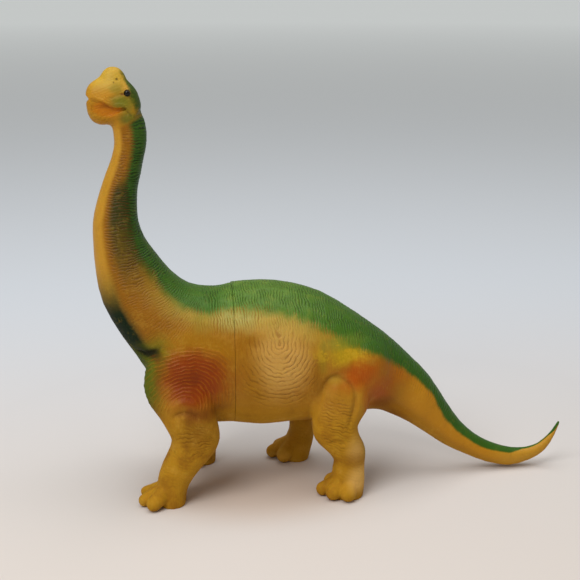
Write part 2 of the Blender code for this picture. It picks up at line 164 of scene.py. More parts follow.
# Leg rows from the top down: height, front, rear, distance from the middle, width
LEFT_FORE = thousandths(
    (320, 100, 240, 620, 950), (278, 94, 240, 760, 1000), (242, 104, 238, 880, 1030),
    (216, 121, 240, 940, 1010), (180, 139, 246, 980, 970), (155, 148, 247, 1000, 930),
    (129, 141, 239, 1000, 880), (103, 130, 221, 1000, 840), (72, 120, 198, 1000, 820),
    (46, 116, 183, 1000, 820), (26, 116, 177, 1000, 900), (5, 118, 175, 1000, 920),
    (-7, 118, 174, 1000, 900),
)
RIGHT_FORE = thousandths(
    (320, 115, 248, 620, 950), (278, 113, 250, 760, 1000), (242, 127, 252, 880, 1030),
    (216, 140, 254, 940, 1010), (180, 155, 256, 980, 970), (155, 161, 255, 1000, 930),
    (129, 166, 252, 1000, 880), (103, 169, 248, 1000, 840), (72, 170, 247, 1000, 820),
    (46, 174, 247, 1000, 820), (26, 180, 247, 1000, 840), (5, 183, 246, 1000, 840),
    (-7, 183, 245, 1000, 800),
)
LEFT_HIND = thousandths(
    (310, 448, 566, 550, 1050), (268, 439, 566, 720, 1050), (232, 437, 562, 820, 1030),
    (204, 437, 551, 880, 990), (175, 438, 534, 930, 950), (149, 441, 537, 960, 880),
    (129, 453, 546, 970, 840), (111, 470, 550, 980, 800), (88, 484, 549, 980, 770),
    (67, 481, 548, 980, 780), (46, 479, 549, 980, 800), (26, 478, 548, 980, 890), (5, 480, 546, 980, 910),
    (-7, 480, 545, 980, 890),
)
RIGHT_HIND = thousandths(
    (310, 420, 540, 550, 1050), (268, 408, 530, 720, 1050), (232, 402, 518, 820, 1030),
    (186, 403, 498, 900, 970), (155, 407, 482, 950, 880), (124, 411, 471, 980, 820),
    (95, 412, 466, 980, 780), (77, 412, 467, 980, 770), (57, 405, 467, 980, 800), (39, 398, 464, 980, 800),
    (21, 396, 460, 980, 840), (5, 397, 456, 980, 840), (-7, 397, 454, 980, 800),
)
CORE_LEG_ROWS = 9

# Toes: turn outwards from straight ahead as a share of a full turn, reach, radius at the tip and the root
TOE_REACH = 14 * MM
TOE_RADIUS = 4 * MM
TOE_RISE = 8.5 * MM
TOE_POINTS = 12
FORE_TOES = (
    (-0.200, 0.90, 0.70, 0.95), (-0.083, 1.16, 0.62, 0.95), (0.045, 1.13, 0.72, 1.00),
    (0.133, 1.13, 0.85, 1.15),
)
HIND_TOES = (
    (-0.125, 0.92, 0.95, 1.15), (0.007, 1.05, 0.80, 1.10), (0.112, 0.95, 0.88, 1.12),
    (0.232, 0.89, 0.95, 1.15),
)
LEGS = (
    (LEFT_FORE, -1, FORE_TOES), (RIGHT_FORE, 1, FORE_TOES),
    (LEFT_HIND, -1, HIND_TOES), (RIGHT_HIND, 1, HIND_TOES),
)

# Swellings: place along the length, height and half width, then the half sizes
SHOULDER = (0.175, 0.315, 0.50, 0.075, 0.105, 0.54)
HIP = (0.535, 0.290, 0.42, 0.080, 0.090, 0.52)
THIGH_PAD = (0.489, 0.218, 0.80, 0.032, 0.088, 0.32)
CREST = (0.052, 0.962, 0.0, 0.028, 0.040, 0.19)
JAW_CORNER = (0.083, 0.890, 0.18, 0.015, 0.017, 0.12)
RIGHT_PAD_SHIFT = -0.032
EYE = (0.080, 0.945)
NOTCH = (-0.002, 0.931)

# Folds pressed into the skin: width and height in millimetres, shift of the right side along the length,
# then the points along the length, outwards and up; the shift and the points are in thousandths
FOLDS = (
    (3.0, -1.3, 12, (
        (146, 1260, 212), (154, 1290, 225), (164, 1310, 232), (176, 1310, 235), (188, 1320, 232),
        (198, 1320, 223), (205, 1330, 208))),
    (3.0, 0.9, 12, (
        (146, 1270, 243), (162, 1280, 254), (178, 1270, 257), (194, 1280, 252), (207, 1280, 238))),
    (3.2, -1.7, 0, (
        (74, 460, 356), (91, 640, 354), (101, 720, 352), (113, 840, 360), (128, 910, 371), (140, 950, 381))),
    (2.4, -1.05, -32, (
        (446, 1080, 215), (452, 1080, 243), (456, 1070, 261), (461, 1070, 277), (468, 1080, 291),
        (479, 1070, 299), (490, 1060, 299), (502, 1070, 292), (513, 1080, 282), (521, 1100, 270),
        (525, 1150, 252), (522, 1200, 230), (515, 1250, 206), (510, 1270, 183), (507, 1290, 159),
        (506, 1290, 148))),
    (1.8, -0.8, -32, (
        (465, 1240, 137), (473, 1290, 146), (482, 1310, 150), (496, 1310, 147), (508, 1290, 140))),
    (1.0, 0.5, 0, (
        (14, 230, 938), (23, 250, 934), (33, 280, 930), (41, 270, 923), (52, 280, 920), (61, 310, 920),
        (69, 310, 921), (76, 300, 918), (83, 290, 911), (88, 280, 904))),
    (0.8, -0.8, 0, (
        (58, 200, 908), (65, 290, 911), (74, 290, 910), (81, 300, 903), (87, 310, 894), (90, 290, 886))),
    (0.9, -0.4, 0, (
        (66, 290, 942), (74, 270, 942))),
    (1.4, -0.3, 0, (
        (40, 290, 930), (52, 290, 937), (62, 300, 940), (69, 290, 943))),
    (1.1, 0.4, 0, (
        (53, 200, 975), (60, 200, 980), (67, 200, 974), (62, 220, 966))),
    (2.6, -0.35, 0, (
        (560, 950, 262), (578, 840, 243), (603, 620, 217), (641, 460, 182), (678, 380, 151))),
)


def srgb(red, green, blue):
    """A paint colour from its screen values."""
    shares = [value / 255 for value in (red, green, blue)]
    return tuple(s / 12.92 if s <= 0.04045 else ((s + 0.055) / 1.055) ** 2.4 for s in shares)


def length(name, about, default):
    return FloatProperty(name=name, description=about, default=default, unit="LENGTH", subtype="DISTANCE",
                         precision=5)


def factor(name, about, default, high=1.0):
    return FloatProperty(name=name, description=about, default=default, min=0, max=high, subtype="FACTOR")


def colour(name, about, red, green, blue):
    return FloatVectorProperty(name=name, description=about, default=srgb(red, green, blue), size=3, min=0,
                               max=1, subtype="COLOR")


class SkinSettings(bpy.types.PropertyGroup):
    grain: length("Grain", "Size of the facets of the sculpted skin", 0.42 * MM)
    ring_spacing: length("Ring spacing", "From one wrinkle round the neck to the next", 1.3 * MM)
    ring_depth: length("Ring depth", "Depth of the wrinkles round the neck", 0.24 * MM)
    back_spacing: length("Back spacing", "From one upright line on the back to the next", 1.25 * MM)
    back_depth: length("Back depth", "Depth of the upright lines on the back", 0.18 * MM)
    whorl_spacing: length("Whorl spacing", "From one flank whorl to the next", 2.1 * MM)
    whorl_depth: length("Whorl depth", "Depth of the flank whorls", 0.26 * MM)
    arch_spacing: length("Arch spacing", "From one arched line on the shoulder to the next", 1.65 * MM)
    arch_depth: length("Arch depth", "Height of the arched lines on the shoulder", 0.24 * MM)
    crease_spacing: length("Crease spacing", "From one crease of the elbow or the thigh on", 1.6 * MM)
    crease_depth: length("Crease depth", "Depth of the creases of the elbow and the thigh", 0.26 * MM)
    seed: IntProperty(name="Seed", description="Start of the random wander of the wrinkles", default=7)


class PaintSettings(bpy.types.PropertyGroup):
    ochre: colour("Ochre", "Vinyl that shows where no paint was sprayed", 172, 122, 28)
    tan: colour("Tan", "Pale spray on the flanks", 196, 150, 72)
    leg: colour("Leg", "Golden brown of the legs", 174, 126, 22)
    amber: colour("Amber", "Brown side of the neck and the tail", 142, 92, 8)
    gold: colour("Gold", "Throat and underside of the tail", 186, 136, 38)
    green: colour("Green", "Spray along the back", 68, 108, 28)
    deep_green: colour("Deep green", "Green in the wrinkles and on the chest", 24, 48, 12)
    brick: colour("Brick", "Patch on the shoulder", 136, 52, 0)
    orange: colour("Orange", "Patch on the hip", 166, 76, 2)
    yellow: colour("Yellow", "Zone above the hip patch", 176, 142, 16)
    olive: colour("Olive", "Cheeks and jaw corners", 128, 118, 32)
    crest: colour("Crest", "Top of the head", 188, 152, 50)
    mouth: colour("Mouth", "Inside of the mouth", 186, 112, 8)
    lacquer: colour("Lacquer", "Drop of each eye", 8, 5, 4)
    roughness: factor("Roughness", "Roughness of the painted vinyl", 0.46)


class StudioSettings(bpy.types.PropertyGroup):
    floor: colour("Floor", "Pale floor", 214, 206, 199)
    wall: colour("Wall", "Floor behind the figure", 212, 219, 228)
    # Painted light: the far floor glows in this colour, more the farther it lies, standing in for lamp light
    # that does not reach it
    painted_glow: colour("Glow", "Light that the far end of the floor gives back", 158, 162, 160)
    key_power: FloatProperty(name="Key power", description="Power of the lamp at the upper left", default=6.5,
                             min=0, unit="POWER")
    top_power: FloatProperty(name="Top power", description="Power of the lamp overhead", default=6.4, min=0,
                             unit="POWER")
    fill: factor("Fill", "Strength of the light from all round", 0.3, 5)
    lens: FloatProperty(name="Lens", description="Focal length of the camera", default=75.56, min=1,
                        subtype="DISTANCE_CAMERA")


def along(share):
    """A place along the figure: 0 at the front of the neck, 1 at the tip of the tail."""
    return (share - 1 / 2) * LENGTH


def through(before, here, there, after, t):
    """A cubic curve from here to there, whose slopes follow the neighbours."""
    rise = (there - before) / 2
    fall = (after - here) / 2
    span = here - there
    return here + rise * t + (-3 * span - 2 * rise - fall) * t ** 2 + (2 * span + rise + fall) * t ** 3


def smooth_rows(rows, steps):
    """Rows of numbers with in-between rows on a smooth curve through them."""
    last = len(rows) - 1
    smooth = []
    for i in range(last):
        four = (rows[max(i - 1, 0)], rows[i], rows[i + 1], rows[min(i + 2, last)])
        for k in range(steps):
            smooth.append([through(*values, k / steps) for values in zip(*four)])
    smooth.append(list(rows[last]))
    return smooth


def full(value):
    """A sine or cosine made a little fuller, so that an oval's flanks are less round."""
    return math.copysign(abs(value) ** FULLNESS, value)


def rib_ring(row, width, inset):
    """An oval ring across the body, in the plane through its upper and its lower point."""
    top_x, top_z, low_x, low_z, width_share, level_share = row
    top = Vector((along(top_x), 0, top_z * HEIGHT))
    low = Vector((along(low_x), 0, low_z * HEIGHT))
    up = (top - low).normalized()
    height = (top - low).length
    middle = low + up * height * level_share
    upper = height * (1 - level_share) - inset
    lower = height * level_share - inset
    side = width_share * width / 2 - inset
    ring = []
    for i in range(BODY_POINTS):
        angle = 2 * math.pi * i / BODY_POINTS
        rise = full(math.cos(angle))
        reach = upper if rise > 0 else lower
        ring.append(middle + up * reach * rise + Vector((0, side * full(math.sin(angle)), 0)))
    return ring


def body_rings(inset, rows=BODY_RIBS):
    return [rib_ring(row, TORSO_WIDTH, inset) for row in smooth_rows(rows, STEPS)]


def leg_rings(rows, side, inset):
    """Level oval rings down a leg on the side -1 or 1."""
    rings = []
    for height, front, rear, out, wide in smooth_rows(rows, STEPS):
        middle = Vector((along((front + rear) / 2), side * out * TRACK / 2, height * HEIGHT))
        half_length = (rear - front) * LENGTH / 2 - inset
        half_width = wide * LEG_WIDTH / 2 - inset
        ring = []
        for i in range(LEG_POINTS):
            angle = 2 * math.pi * i / LEG_POINTS
            spoke = Vector((half_length * full(math.cos(angle)), half_width * full(math.sin(angle)), 0))
            ring.append(middle + spoke)
        rings.append(ring)
    return rings


def add_object(name, shape):
    mesh = bpy.data.meshes.new(name)
    shape.to_mesh(mesh)
    shape.free()
    return add_mesh(name, mesh)


def add_mesh(name, mesh):
    thing = bpy.data.objects.new(name, mesh)
    bpy.context.scene.collection.objects.link(thing)
    return thing


def fill_loft(shape, rings):
    """Add a closed form through rings of as many points each, with both ends capped."""
    rows = [[shape.verts.new(point) for point in ring] for ring in rings]
    faces = [shape.faces.new(rows[0]), shape.faces.new(rows[-1])]
    for here, there in zip(rows, rows[1:]):
        for i in range(len(here)):
            faces.append(shape.faces.new((here[i - 1], here[i], there[i], there[i - 1])))
    bmesh.ops.recalc_face_normals(shape, faces=faces)


def fill_bulge(shape, middle, halves):
    """Add an ellipsoid."""
    place = Matrix.Translation(middle) @ Matrix.Diagonal((*halves, 1))
    bmesh.ops.create_uvsphere(shape, u_segments=28, v_segments=18, radius=1, matrix=place)


def fill_swelling(shape, shares, side, shift=0):
    x, z, out, half_x, half_z, half_y = shares
    middle = Vector((along(x + shift), side * out * TORSO_WIDTH / 2, z * HEIGHT))
    fill_bulge(shape, middle, (half_x * LENGTH, half_y * TORSO_WIDTH / 2, half_z * HEIGHT))


def toe_rings(root, tip, root_radius, tip_radius):
    """Rings of a toe that tapers from a round root to a round tip."""
    ahead = (tip - root).normalized()
    across = ahead.cross(Vector((0, 0, 1))).normalized()
    up = across.cross(ahead)
    rings = []
    for i in range(TOE_POINTS):
        turn = math.pi * (i + 1 / 2) / TOE_POINTS
        middle, radius = (root, root_radius) if i < TOE_POINTS / 2 else (tip, tip_radius)
        centre = middle - ahead * radius * math.cos(turn)
        ring = []
        for k in range(2 * TOE_POINTS):
            angle = math.pi * k / TOE_POINTS
            ring.append(centre + (across * math.cos(angle) + up * math.sin(angle)) * radius * math.sin(turn))
        rings.append(ring)
    return rings


def fill_foot(shape, rows, side, toes):
    """The toes round the front and the outer side of a foot."""
    height, front, rear, out, wide = rows[-2]
    middle = Vector((along((front + rear) / 2), side * out * TRACK / 2, 0))
    root = middle + Vector((0, 0, TOE_RISE))
    for turn_share, reach, tip_share, root_share in toes:
        turn = 2 * math.pi * turn_share
        ahead = Vector((-math.cos(turn), side * math.sin(turn), 0))
        radius = tip_share * TOE_RADIUS
        tip = middle + ahead * (reach * TOE_REACH - radius) + Vector((0, 0, radius))
        fill_loft(shape, toe_rings(root, tip, root_share * TOE_RADIUS, radius))


def block(name, low, high):
    shape = bmesh.new()
    place = Matrix.Translation((low + high) / 2) @ Matrix.Diagonal((*(high - low), 1))
    bmesh.ops.create_cube(shape, size=1, matrix=place)
    return add_object(name, shape)


def drum(name, middle, radius, depth):
    """A round bar that lies across the figure."""
    shape = bmesh.new()
    place = Matrix.Translation(middle) @ Matrix.Rotation(math.pi / 2, 4, "X")
    bmesh.ops.create_cone(shape, cap_ends=True, segments=32, radius1=radius, radius2=radius, depth=depth,
                          matrix=place)
    return add_object(name, shape)


def settle(thing):
    """The thing's evaluated mesh, as a mesh of its own."""
    bpy.context.view_layer.update()
    return bpy.data.meshes.new_from_object(thing.evaluated_get(bpy.context.evaluated_depsgraph_get()))


def bake(thing):
    """Turn the thing's modifiers into its mesh."""
    mesh = settle(thing)
    thing.modifiers.clear()
    thing.data = mesh
    return thing


def remove(things):
    for thing in things:
        bpy.data.objects.remove(thing)


def even_out(thing, grain):
    even = thing.modifiers.new("even grain", "REMESH")
    even.mode = "VOXEL"
    even.voxel_size = grain


def soften(thing, rounds):
    soft = thing.modifiers.new("soften", "SMOOTH")
    soft.factor = 0.5
    soft.iterations = rounds


def thin_out(thing, facets):
    """Leave as many triangles as the facets ask."""
    thing.data.calc_loop_triangles()
    count = len(thing.data.loop_triangles)
    if count > facets:
        thin = thing.modifiers.new("thin out", "DECIMATE")
        thin.ratio = facets / count
        bake(thing)


def cut(thing, cutter, operation="DIFFERENCE"):
    before = len(thing.data.vertices)
    boolean = thing.modifiers.new(cutter.name, "BOOLEAN")
    boolean.operation = operation
    boolean.solver = "MANIFOLD"
    boolean.object = cutter
    bake(thing)
    if len(thing.data.vertices) == before:
        raise RuntimeError(f"{cutter.name} left {thing.name} as it was")


def eye_place(side, reach):
    x, z = EYE
    return Vector((along(x), side * reach, z * HEIGHT))


def mouth_cutter(side):
    """The recess of the open mouth on one side, which leaves the gum in the middle."""
    shape = bmesh.new()
    inner = side * GUM_WIDTH / 2
    outer = side * (HEAD_WIDTH / 2 + OVERRUN)
    fill_loft(shape, [[Vector((along(x), y, z * HEIGHT)) for x, z in MOUTH_LINE]
                      for y in (inner, outer)])
    return add_object("mouth recess", shape)


def main_form():
    """Body, head and legs run together, with soft transitions."""
    shape = bmesh.new()
    fill_loft(shape, body_rings(0))
    fill_loft(shape, [rib_ring(row, HEAD_WIDTH, 0) for row in smooth_rows(HEAD_RIBS, STEPS)])
    fill_swelling(shape, CREST, 1)
    for rows, side, _ in LEGS:
        fill_loft(shape, leg_rings(rows, side, 0))
    for side in (-1, 1):
        for shares in (SHOULDER, HIP, JAW_CORNER):
            fill_swelling(shape, shares, side)
        fill_bulge(shape, eye_place(side, EYE_REACH - LID_WIDTH / 2), [LID_WIDTH / 2] * 3)
    fill_swelling(shape, THIGH_PAD, -1)
    fill_swelling(shape, THIGH_PAD, 1, RIGHT_PAD_SHIFT)
    form = add_object("form", shape)
    even_out(form, FORM_GRAIN)
    soften(form, FORM_ROUNDS)
    return ease_hips(bake(form))


def ease_hips(form):
    """Smooth away the dip between the hips and the tail."""
    points = points_of(form.data)
    x, z = points[:, 0] / LENGTH + 1 / 2, points[:, 2] / HEIGHT
    dip = np.flatnonzero((x > 0.555) & (x < 0.68) & (z > 0.17))
    group = form.vertex_groups.new(name="dip")
    group.add(dip.tolist(), 1, "REPLACE")
    soften(form, HIP_ROUNDS)
    form.modifiers[0].vertex_group = group.name
    return bake(form)


def add_details(form, grain):
    """Toes and the open mouth, at the grain of the finished skin."""
    shape = bmesh.new()
    for leg in LEGS:
        fill_foot(shape, *leg)
    shape.from_mesh(form.data)
    remove([form])
    skin = add_object("skin", shape)
    even_out(skin, grain)
    bake(skin)
    x, z = NOTCH
    notch = drum("lip notch", Vector((along(x), 0, z * HEIGHT)), LIP_NOTCH / 2, HEAD_WIDTH)
    ground = block("ground", Vector((-LENGTH, -LENGTH, -HEIGHT)), Vector((LENGTH, LENGTH, 0)))
    cutters = [mouth_cutter(-1), mouth_cutter(1), notch, ground]
    for cutter in cutters:
        cut(skin, cutter)
    remove(cutters)
    even_out(skin, grain)
    soften(skin, 3)
    return bake(skin)


def points_of(mesh):
    points = np.empty(len(mesh.vertices) * 3)
    mesh.vertices.foreach_get("co", points)
    return points.reshape(-1, 3)


def normals_of(mesh):
    normals = np.empty(len(mesh.vertices) * 3)
    mesh.vertices.foreach_get("normal", normals)
    return normals.reshape(-1, 3)


def rise(low, high, value):
    """0 below low, 1 above high, and a smooth step between."""
    t = np.clip((value - low) / (high - low), 0, 1)
    return t * t * (3 - 2 * t)


def nearest_on(path, spots):
    """How far each spot lies from the path, and how far along it the nearest place is, 0 to 1."""
    best = np.full(len(spots), np.inf)
    place = np.zeros(len(spots))
    steps = np.linalg.norm(np.diff(path, axis=0), axis=1)
    starts = np.concatenate(([0], np.cumsum(steps)))
    for i in range(len(path) - 1):
        ahead = path[i + 1] - path[i]
        share = np.clip((spots - path[i]) @ ahead / (ahead @ ahead), 0, 1)
        apart = np.linalg.norm(spots - path[i] - share[:, None] * ahead, axis=1)
        closer = apart < best
        best = np.where(closer, apart, best)
        place = np.where(closer, (starts[i] + share * steps[i]) / starts[-1], place)
    return best, place


def press_folds(mesh):
    """Move the skin in along each fold and out along each ridge."""
    points = points_of(mesh)
    normals = normals_of(mesh)
    moved = np.zeros(len(points))
    for width, height, shift, line in FOLDS:
        reach = width * MM
        for side in (-1, 1):
            extra = shift / 1000 if side > 0 else 0
            path = np.array([(along(x + extra), side * out * TRACK / 2, z * HEIGHT)
                             for x, out, z in thousandths(*line)])
            near = np.all((points > path.min(0) - 2 * reach) & (points < path.max(0) + 2 * reach), axis=1)
            best, place = nearest_on(path, points[near])
            taper = rise(*FOLD_TAPER, place) * rise(*FOLD_TAPER, 1 - place)
            moved[near] += height * MM * taper * np.clip(1 - best / reach, 0, 1) ** FOLD_KEENNESS
    behind = points[:, 0] - along(SEAM_SHARE)
    lip = np.where(behind > 0, SEAM_STEP * np.exp(-np.abs(behind) / SEAM_FADE), 0)
    points += normals * (moved + lip * rise(TORSO_WIDTH / 8, HEIGHT / 2, points[:, 2]))[:, None]
    mesh.vertices.foreach_set("co", points.ravel())
    mesh.update()
    store(mesh, "fold", moved / MM)


def body_measure(points):
    """How far along the body each point lies, in metres, and how far round from the top, 0 to 1."""
    rows = np.array(smooth_rows(BODY_RIBS, RUN_STEPS))
    top = np.stack(((rows[:, 0] - 0.5) * LENGTH, rows[:, 1] * HEIGHT), 1)
    low = np.stack(((rows[:, 2] - 0.5) * LENGTH, rows[:, 3] * HEIGHT), 1)
    height = np.linalg.norm(top - low, axis=1)
    up = (top - low) / height[:, None]
    middle = low + up * (height * rows[:, 5])[:, None]
    tail = np.stack((up[:, 1], -up[:, 0]), 1)
    half = rows[:, 4] * TORSO_WIDTH / 2
    run = np.concatenate(([0], np.cumsum(np.linalg.norm(np.diff(middle, axis=0), axis=1))))
    far = np.empty(len(points))
    spread = np.empty(len(points))
    for start in range(0, len(points), POINTS_AT_ONCE):
        part = slice(start, start + POINTS_AT_ONCE)
        flat = points[part][:, (0, 2)]
        away = np.abs(points[part][:, 1])
        offset = flat @ tail.T - np.sum(middle * tail, axis=1)
        gap = np.linalg.norm(flat[:, None, :] - middle[None, :-1, :], axis=2)
        between = (offset[:, :-1] >= 0) & (offset[:, 1:] < 0)
        i = np.argmin(np.where(between, gap, gap + 1), axis=1)
        pick = np.arange(len(flat))
        share = np.clip(offset[pick, i] / (offset[pick, i] - offset[pick, i + 1] + TINY), 0, 1)
        share = np.where(between[pick, i], share, np.where(offset[pick, i] < 0, 0, 1))

        def blend(values):
            return values[i] * (1 - share) + values[i + 1] * share

        centre = np.stack((blend(middle[:, 0]), blend(middle[:, 1])), 1)
        upward = np.stack((blend(up[:, 0]), blend(up[:, 1])), 1)
        above = np.sum((flat - centre) * upward, axis=1)
        tall = np.where(above > 0, blend(height * (1 - rows[:, 5])), blend(height * rows[:, 5]))
        far[part] = blend(run) + np.minimum(offset[pick, 0], 0) * (i == 0)
        spread[part] = np.arctan2(away / blend(half), above / tall) / np.pi
    return far, spread


def oval(points, middle, sizes, solid):
    """1 in the solid middle of an oval on the side of the figure, 0 outside; half sizes in millimetres."""
    across = (points[:, 0] - along(middle[0])) / (sizes[0] * MM)
    upward = (points[:, 2] - middle[1] * HEIGHT) / (sizes[1] * MM)
    return 1 - rise(solid, 1, np.hypot(across, upward))


def store(mesh, name, values):
    layer = mesh.attributes.get(name) or mesh.attributes.new(name, "FLOAT", "POINT")
    layer.data.foreach_set("value", values.astype(np.float32))


def measure_skin(mesh):
    """Store how strong each kind of wrinkle is at each point, and the measure along which it repeats."""
    points = points_of(mesh)
    run, spread = body_measure(points)
    x = points[:, 0] / LENGTH + 1 / 2
    z = points[:, 2] / HEIGHT
    away = np.abs(points[:, 1])

    def beyond(low, high):
        """0 nearer to the middle plane than low, 1 farther out than high, both in millimetres."""
        return rise(low * MM, high * MM, away)

    def fan(middle, radius):
        """Lines that spread from the middle, measured on a circle of this radius in millimetres."""
        return np.arctan2((z - middle[1]) * HEIGHT, (middle[0] - x) * LENGTH) * radius * MM

    outward = beyond(4, 12)
    off_head = 1 - oval(points, (0.045, 0.93), (15, 19), 0.75)
    off_legs = rise(0.110, 0.150, z)

    shoulder_x, shoulder_z = (x - ARCH_MIDDLE[0]) * LENGTH, (z - ARCH_MIDDLE[1]) * HEIGHT
    leaning = shoulder_x - 0.22 * shoulder_z
    arch_line = np.hypot(leaning * np.where(leaning < 0, 0.92, 1.12), np.maximum(shoulder_z, 0))
    arches = rise(5 * MM, 8 * MM, arch_line) * rise(33 * MM, 26 * MM, arch_line)
    arches *= rise(-2 * MM, 1 * MM, shoulder_z)
    arches *= rise(0.279, 0.272, x) * outward * rise(0.395, 0.370, z - 0.3 * x + 0.05)

    whorl_x, whorl_z = (x - WHORL_MIDDLE[0]) * LENGTH, (WHORL_MIDDLE[1] - z) * HEIGHT
    widening = np.abs(whorl_x) * 1.15 + np.minimum(whorl_z, 0) * 0.25
    whorl_line = np.hypot(np.maximum(widening, 0), np.maximum(whorl_z, 0))
    whorls = oval(points, (0.366, 0.321), (21, 23), 0.60) * outward

    neck = rise(0.122, 0.106, run) * rise(0.70, 0.60, spread) * rise(-0.004, 0.004, run)
    neck *= 1 - 0.55 * rise(0.070, 0.096, run)
    tail = rise(0.205, 0.225, run) * rise(0.296, 0.275, run) * rise(0.45, 0.30, spread) * 0.7
    back = rise(0.165, 0.20, x) * rise(0.66, 0.58, x) * rise(0.100, 0.118, run) * rise(0.38, 0.24, spread)
    near = np.where(points[:, 1] > 0, RIGHT_PAD_SHIFT, 0)
    moved = points - np.stack((near * LENGTH, 0 * near, 0 * near), 1)
    pads = oval(moved, (0.486, 0.185), (9, 17), 0.6) * beyond(16, 22)
    elbows = oval(points, (0.195, 0.165), (11, 10), 0.5) * beyond(22, 27)
    legs = rise(0.20, 0.15, z) * rise(0.035, 0.06, z) * beyond(10, 16) * 0.3
    lips = oval(points, (0.026, 0.906), (9, 9), 0.5) * 0.45
    creases = np.maximum(np.maximum(pads, elbows), np.maximum(legs, lips))
    level = points[:, 2] + 0.25 * points[:, 0]
    crease_line = np.where(elbows > 0, fan(ELBOW_FAN, 17), np.where(lips > 0, fan(LIP_FAN, 11), level))
    free = off_head * (1 - 0.9 * np.maximum(whorls, arches))
    for name, strength, line in (
            ("ring", (neck + tail) * free * off_legs, run),
            ("back", back * free, points[:, 0] + 0.12 * points[:, 2]),
            ("whorl", whorls, whorl_line),
            ("arch", arches, arch_line),
            ("crease", creases, crease_line)):
        store(mesh, name, strength)
        store(mesh, f"{name}_line", line)


class Wire:
    """A socket in a node tree, on which sums are written as Python expressions."""

    def __init__(self, sheet, socket):
        self.sheet = sheet
        self.socket = socket

    def math(self, operation, *values):
        return self.sheet.node("ShaderNodeMath", {"operation": operation}, dict(enumerate(values)))

    def __add__(self, other):
        return self.math("ADD", self, other)

    def __sub__(self, other):
        return self.math("SUBTRACT", self, other)

    def __mul__(self, other):
        return self.math("MULTIPLY", self, other)

    def __truediv__(self, other):
        return self.math("DIVIDE", self, other)

    def __pow__(self, other):
        return self.math("POWER", self, other)

    def __rsub__(self, other):
        return self.math("SUBTRACT", other, self)

    def __rtruediv__(self, other):
        return self.math("DIVIDE", other, self)

    __radd__ = __add__
    __rmul__ = __mul__

    def __neg__(self):
        return self * -1

    def __abs__(self):
        return self.math("ABSOLUTE", self)

    def sine(self):
        return self.math("SINE", self)

    def root(self):
        return self.math("SQRT", self)

    def least(self, other):
        return self.math("MINIMUM", self, other)

    def most(self, other):
        return self.math("MAXIMUM", self, other)

    def groove(self, spacing, shift, sharp):
        """1 at the bottom of grooves that repeat at the spacing, 0 on the ridges between."""
        return (1 - abs(((self / spacing + shift) * math.pi).sine())) ** sharp

    def step(self, low, high):
        """0 at low, 1 at high, with a smooth step between; low may be the larger."""
        return self.sheet.node("ShaderNodeMapRange", {"interpolation_type": "SMOOTHSTEP"},
                               {"Value": self, "From Min": low, "From Max": high})


class Sheet:
    """A node tree that is being written."""

    def __init__(self, tree):
        self.tree = tree

    def feed(self, socket, value):
        if isinstance(value, Wire):
            self.tree.links.new(value.socket, socket)
        else:
            socket.default_value = value

    def node(self, kind, settings=None, inputs=None, output=0):
        """Add a node: its settings first, then the values or wires of its sockets."""
        node = self.tree.nodes.new(kind)
        for name, value in (settings or {}).items():
            if name == "stops":
                self.set_stops(node.color_ramp, value)
            else:
                setattr(node, name, value)
        for key, value in (inputs or {}).items():
            self.feed(node.inputs[key], value)
        return Wire(self, node.outputs[output])

    def set_stops(self, ramp, stops):
        while len(ramp.elements) < len(stops):
            ramp.elements.new(1)
        for element, (place, value) in zip(ramp.elements, stops):
            element.position = place
            element.color = (value, value, value, 1)

    def noise(self, vector, scale, detail, rough=0.5):
        return self.node("ShaderNodeTexNoise", None, {"Vector": vector, "Scale": scale, "Detail": detail,
                                                      "Roughness": rough})

    def split(self, vector):
        """The three parts of a vector."""
        return [self.node("ShaderNodeSeparateXYZ", None, {0: vector}, axis) for axis in range(3)]

    def shade(self, values):
        """Give the inputs of the material's shader their values or wires."""
        inputs = self.tree.nodes["Principled BSDF"].inputs
        for name, value in values.items():
            self.feed(inputs[name], value)

    def blend(self, share, here, there):
        """From the colour here to the colour there, as the share rises from 0 to 1."""
        colours = [value if isinstance(value, Wire) else (*value, 1) for value in (here, there)]
        return self.node("ShaderNodeMix", {"data_type": "RGBA"}, {0: share, 6: colours[0], 7: colours[1]}, 2)

    def curve(self, value, low, high, stops):
        """A value read off a ramp whose stops lie between low and high."""
        places = [((place - low) / (high - low), height) for place, height in stops]
        return self.node("ShaderNodeValToRGB", {"stops": places}, {0: (value - low) / (high - low)})


# Each kind of wrinkle: how far its lines sway and jitter, in spacings, how sharp they are, and 1 for grooves
# or -1 for ridges
WRINKLES = (
    ("Ring", 3.2, 1.6, 1.1, 1), ("Back", 2.6, 1.3, 1.1, 1), ("Whorl", 1.7, 1.1, 1.9, 1),
    ("Arch", 1.4, 0.7, 1.5, -1), ("Crease", 2.4, 1.8, 1.5, 1),
)


def wrinkle_parts(sheet, place, stored, seed, spacings, keen=1):
    """How deep each kind of wrinkle is here: 1 at the bottom of a groove, -1 on top of a ridge."""
    moved = sheet.node("ShaderNodeVectorMath", {"operation": "ADD"}, {0: place, 1: seed})
    wide = sheet.noise(moved, 75, 2) - 0.5
    close = sheet.noise(moved, 300, 2) - 0.5
    worn = sheet.noise(moved, 190, 3).step(0.34, 0.60) * 0.8 + 0.2
    parts = []
    for (kind, sway, jitter, sharp, sign), spacing in zip(WRINKLES, spacings):
        line = stored(f"{kind.lower()}_line")
        groove = line.groove(spacing, wide * sway + close * jitter, sharp * keen)
        parts.append(groove * worn * stored(kind.lower()) * sign)
    return parts, close


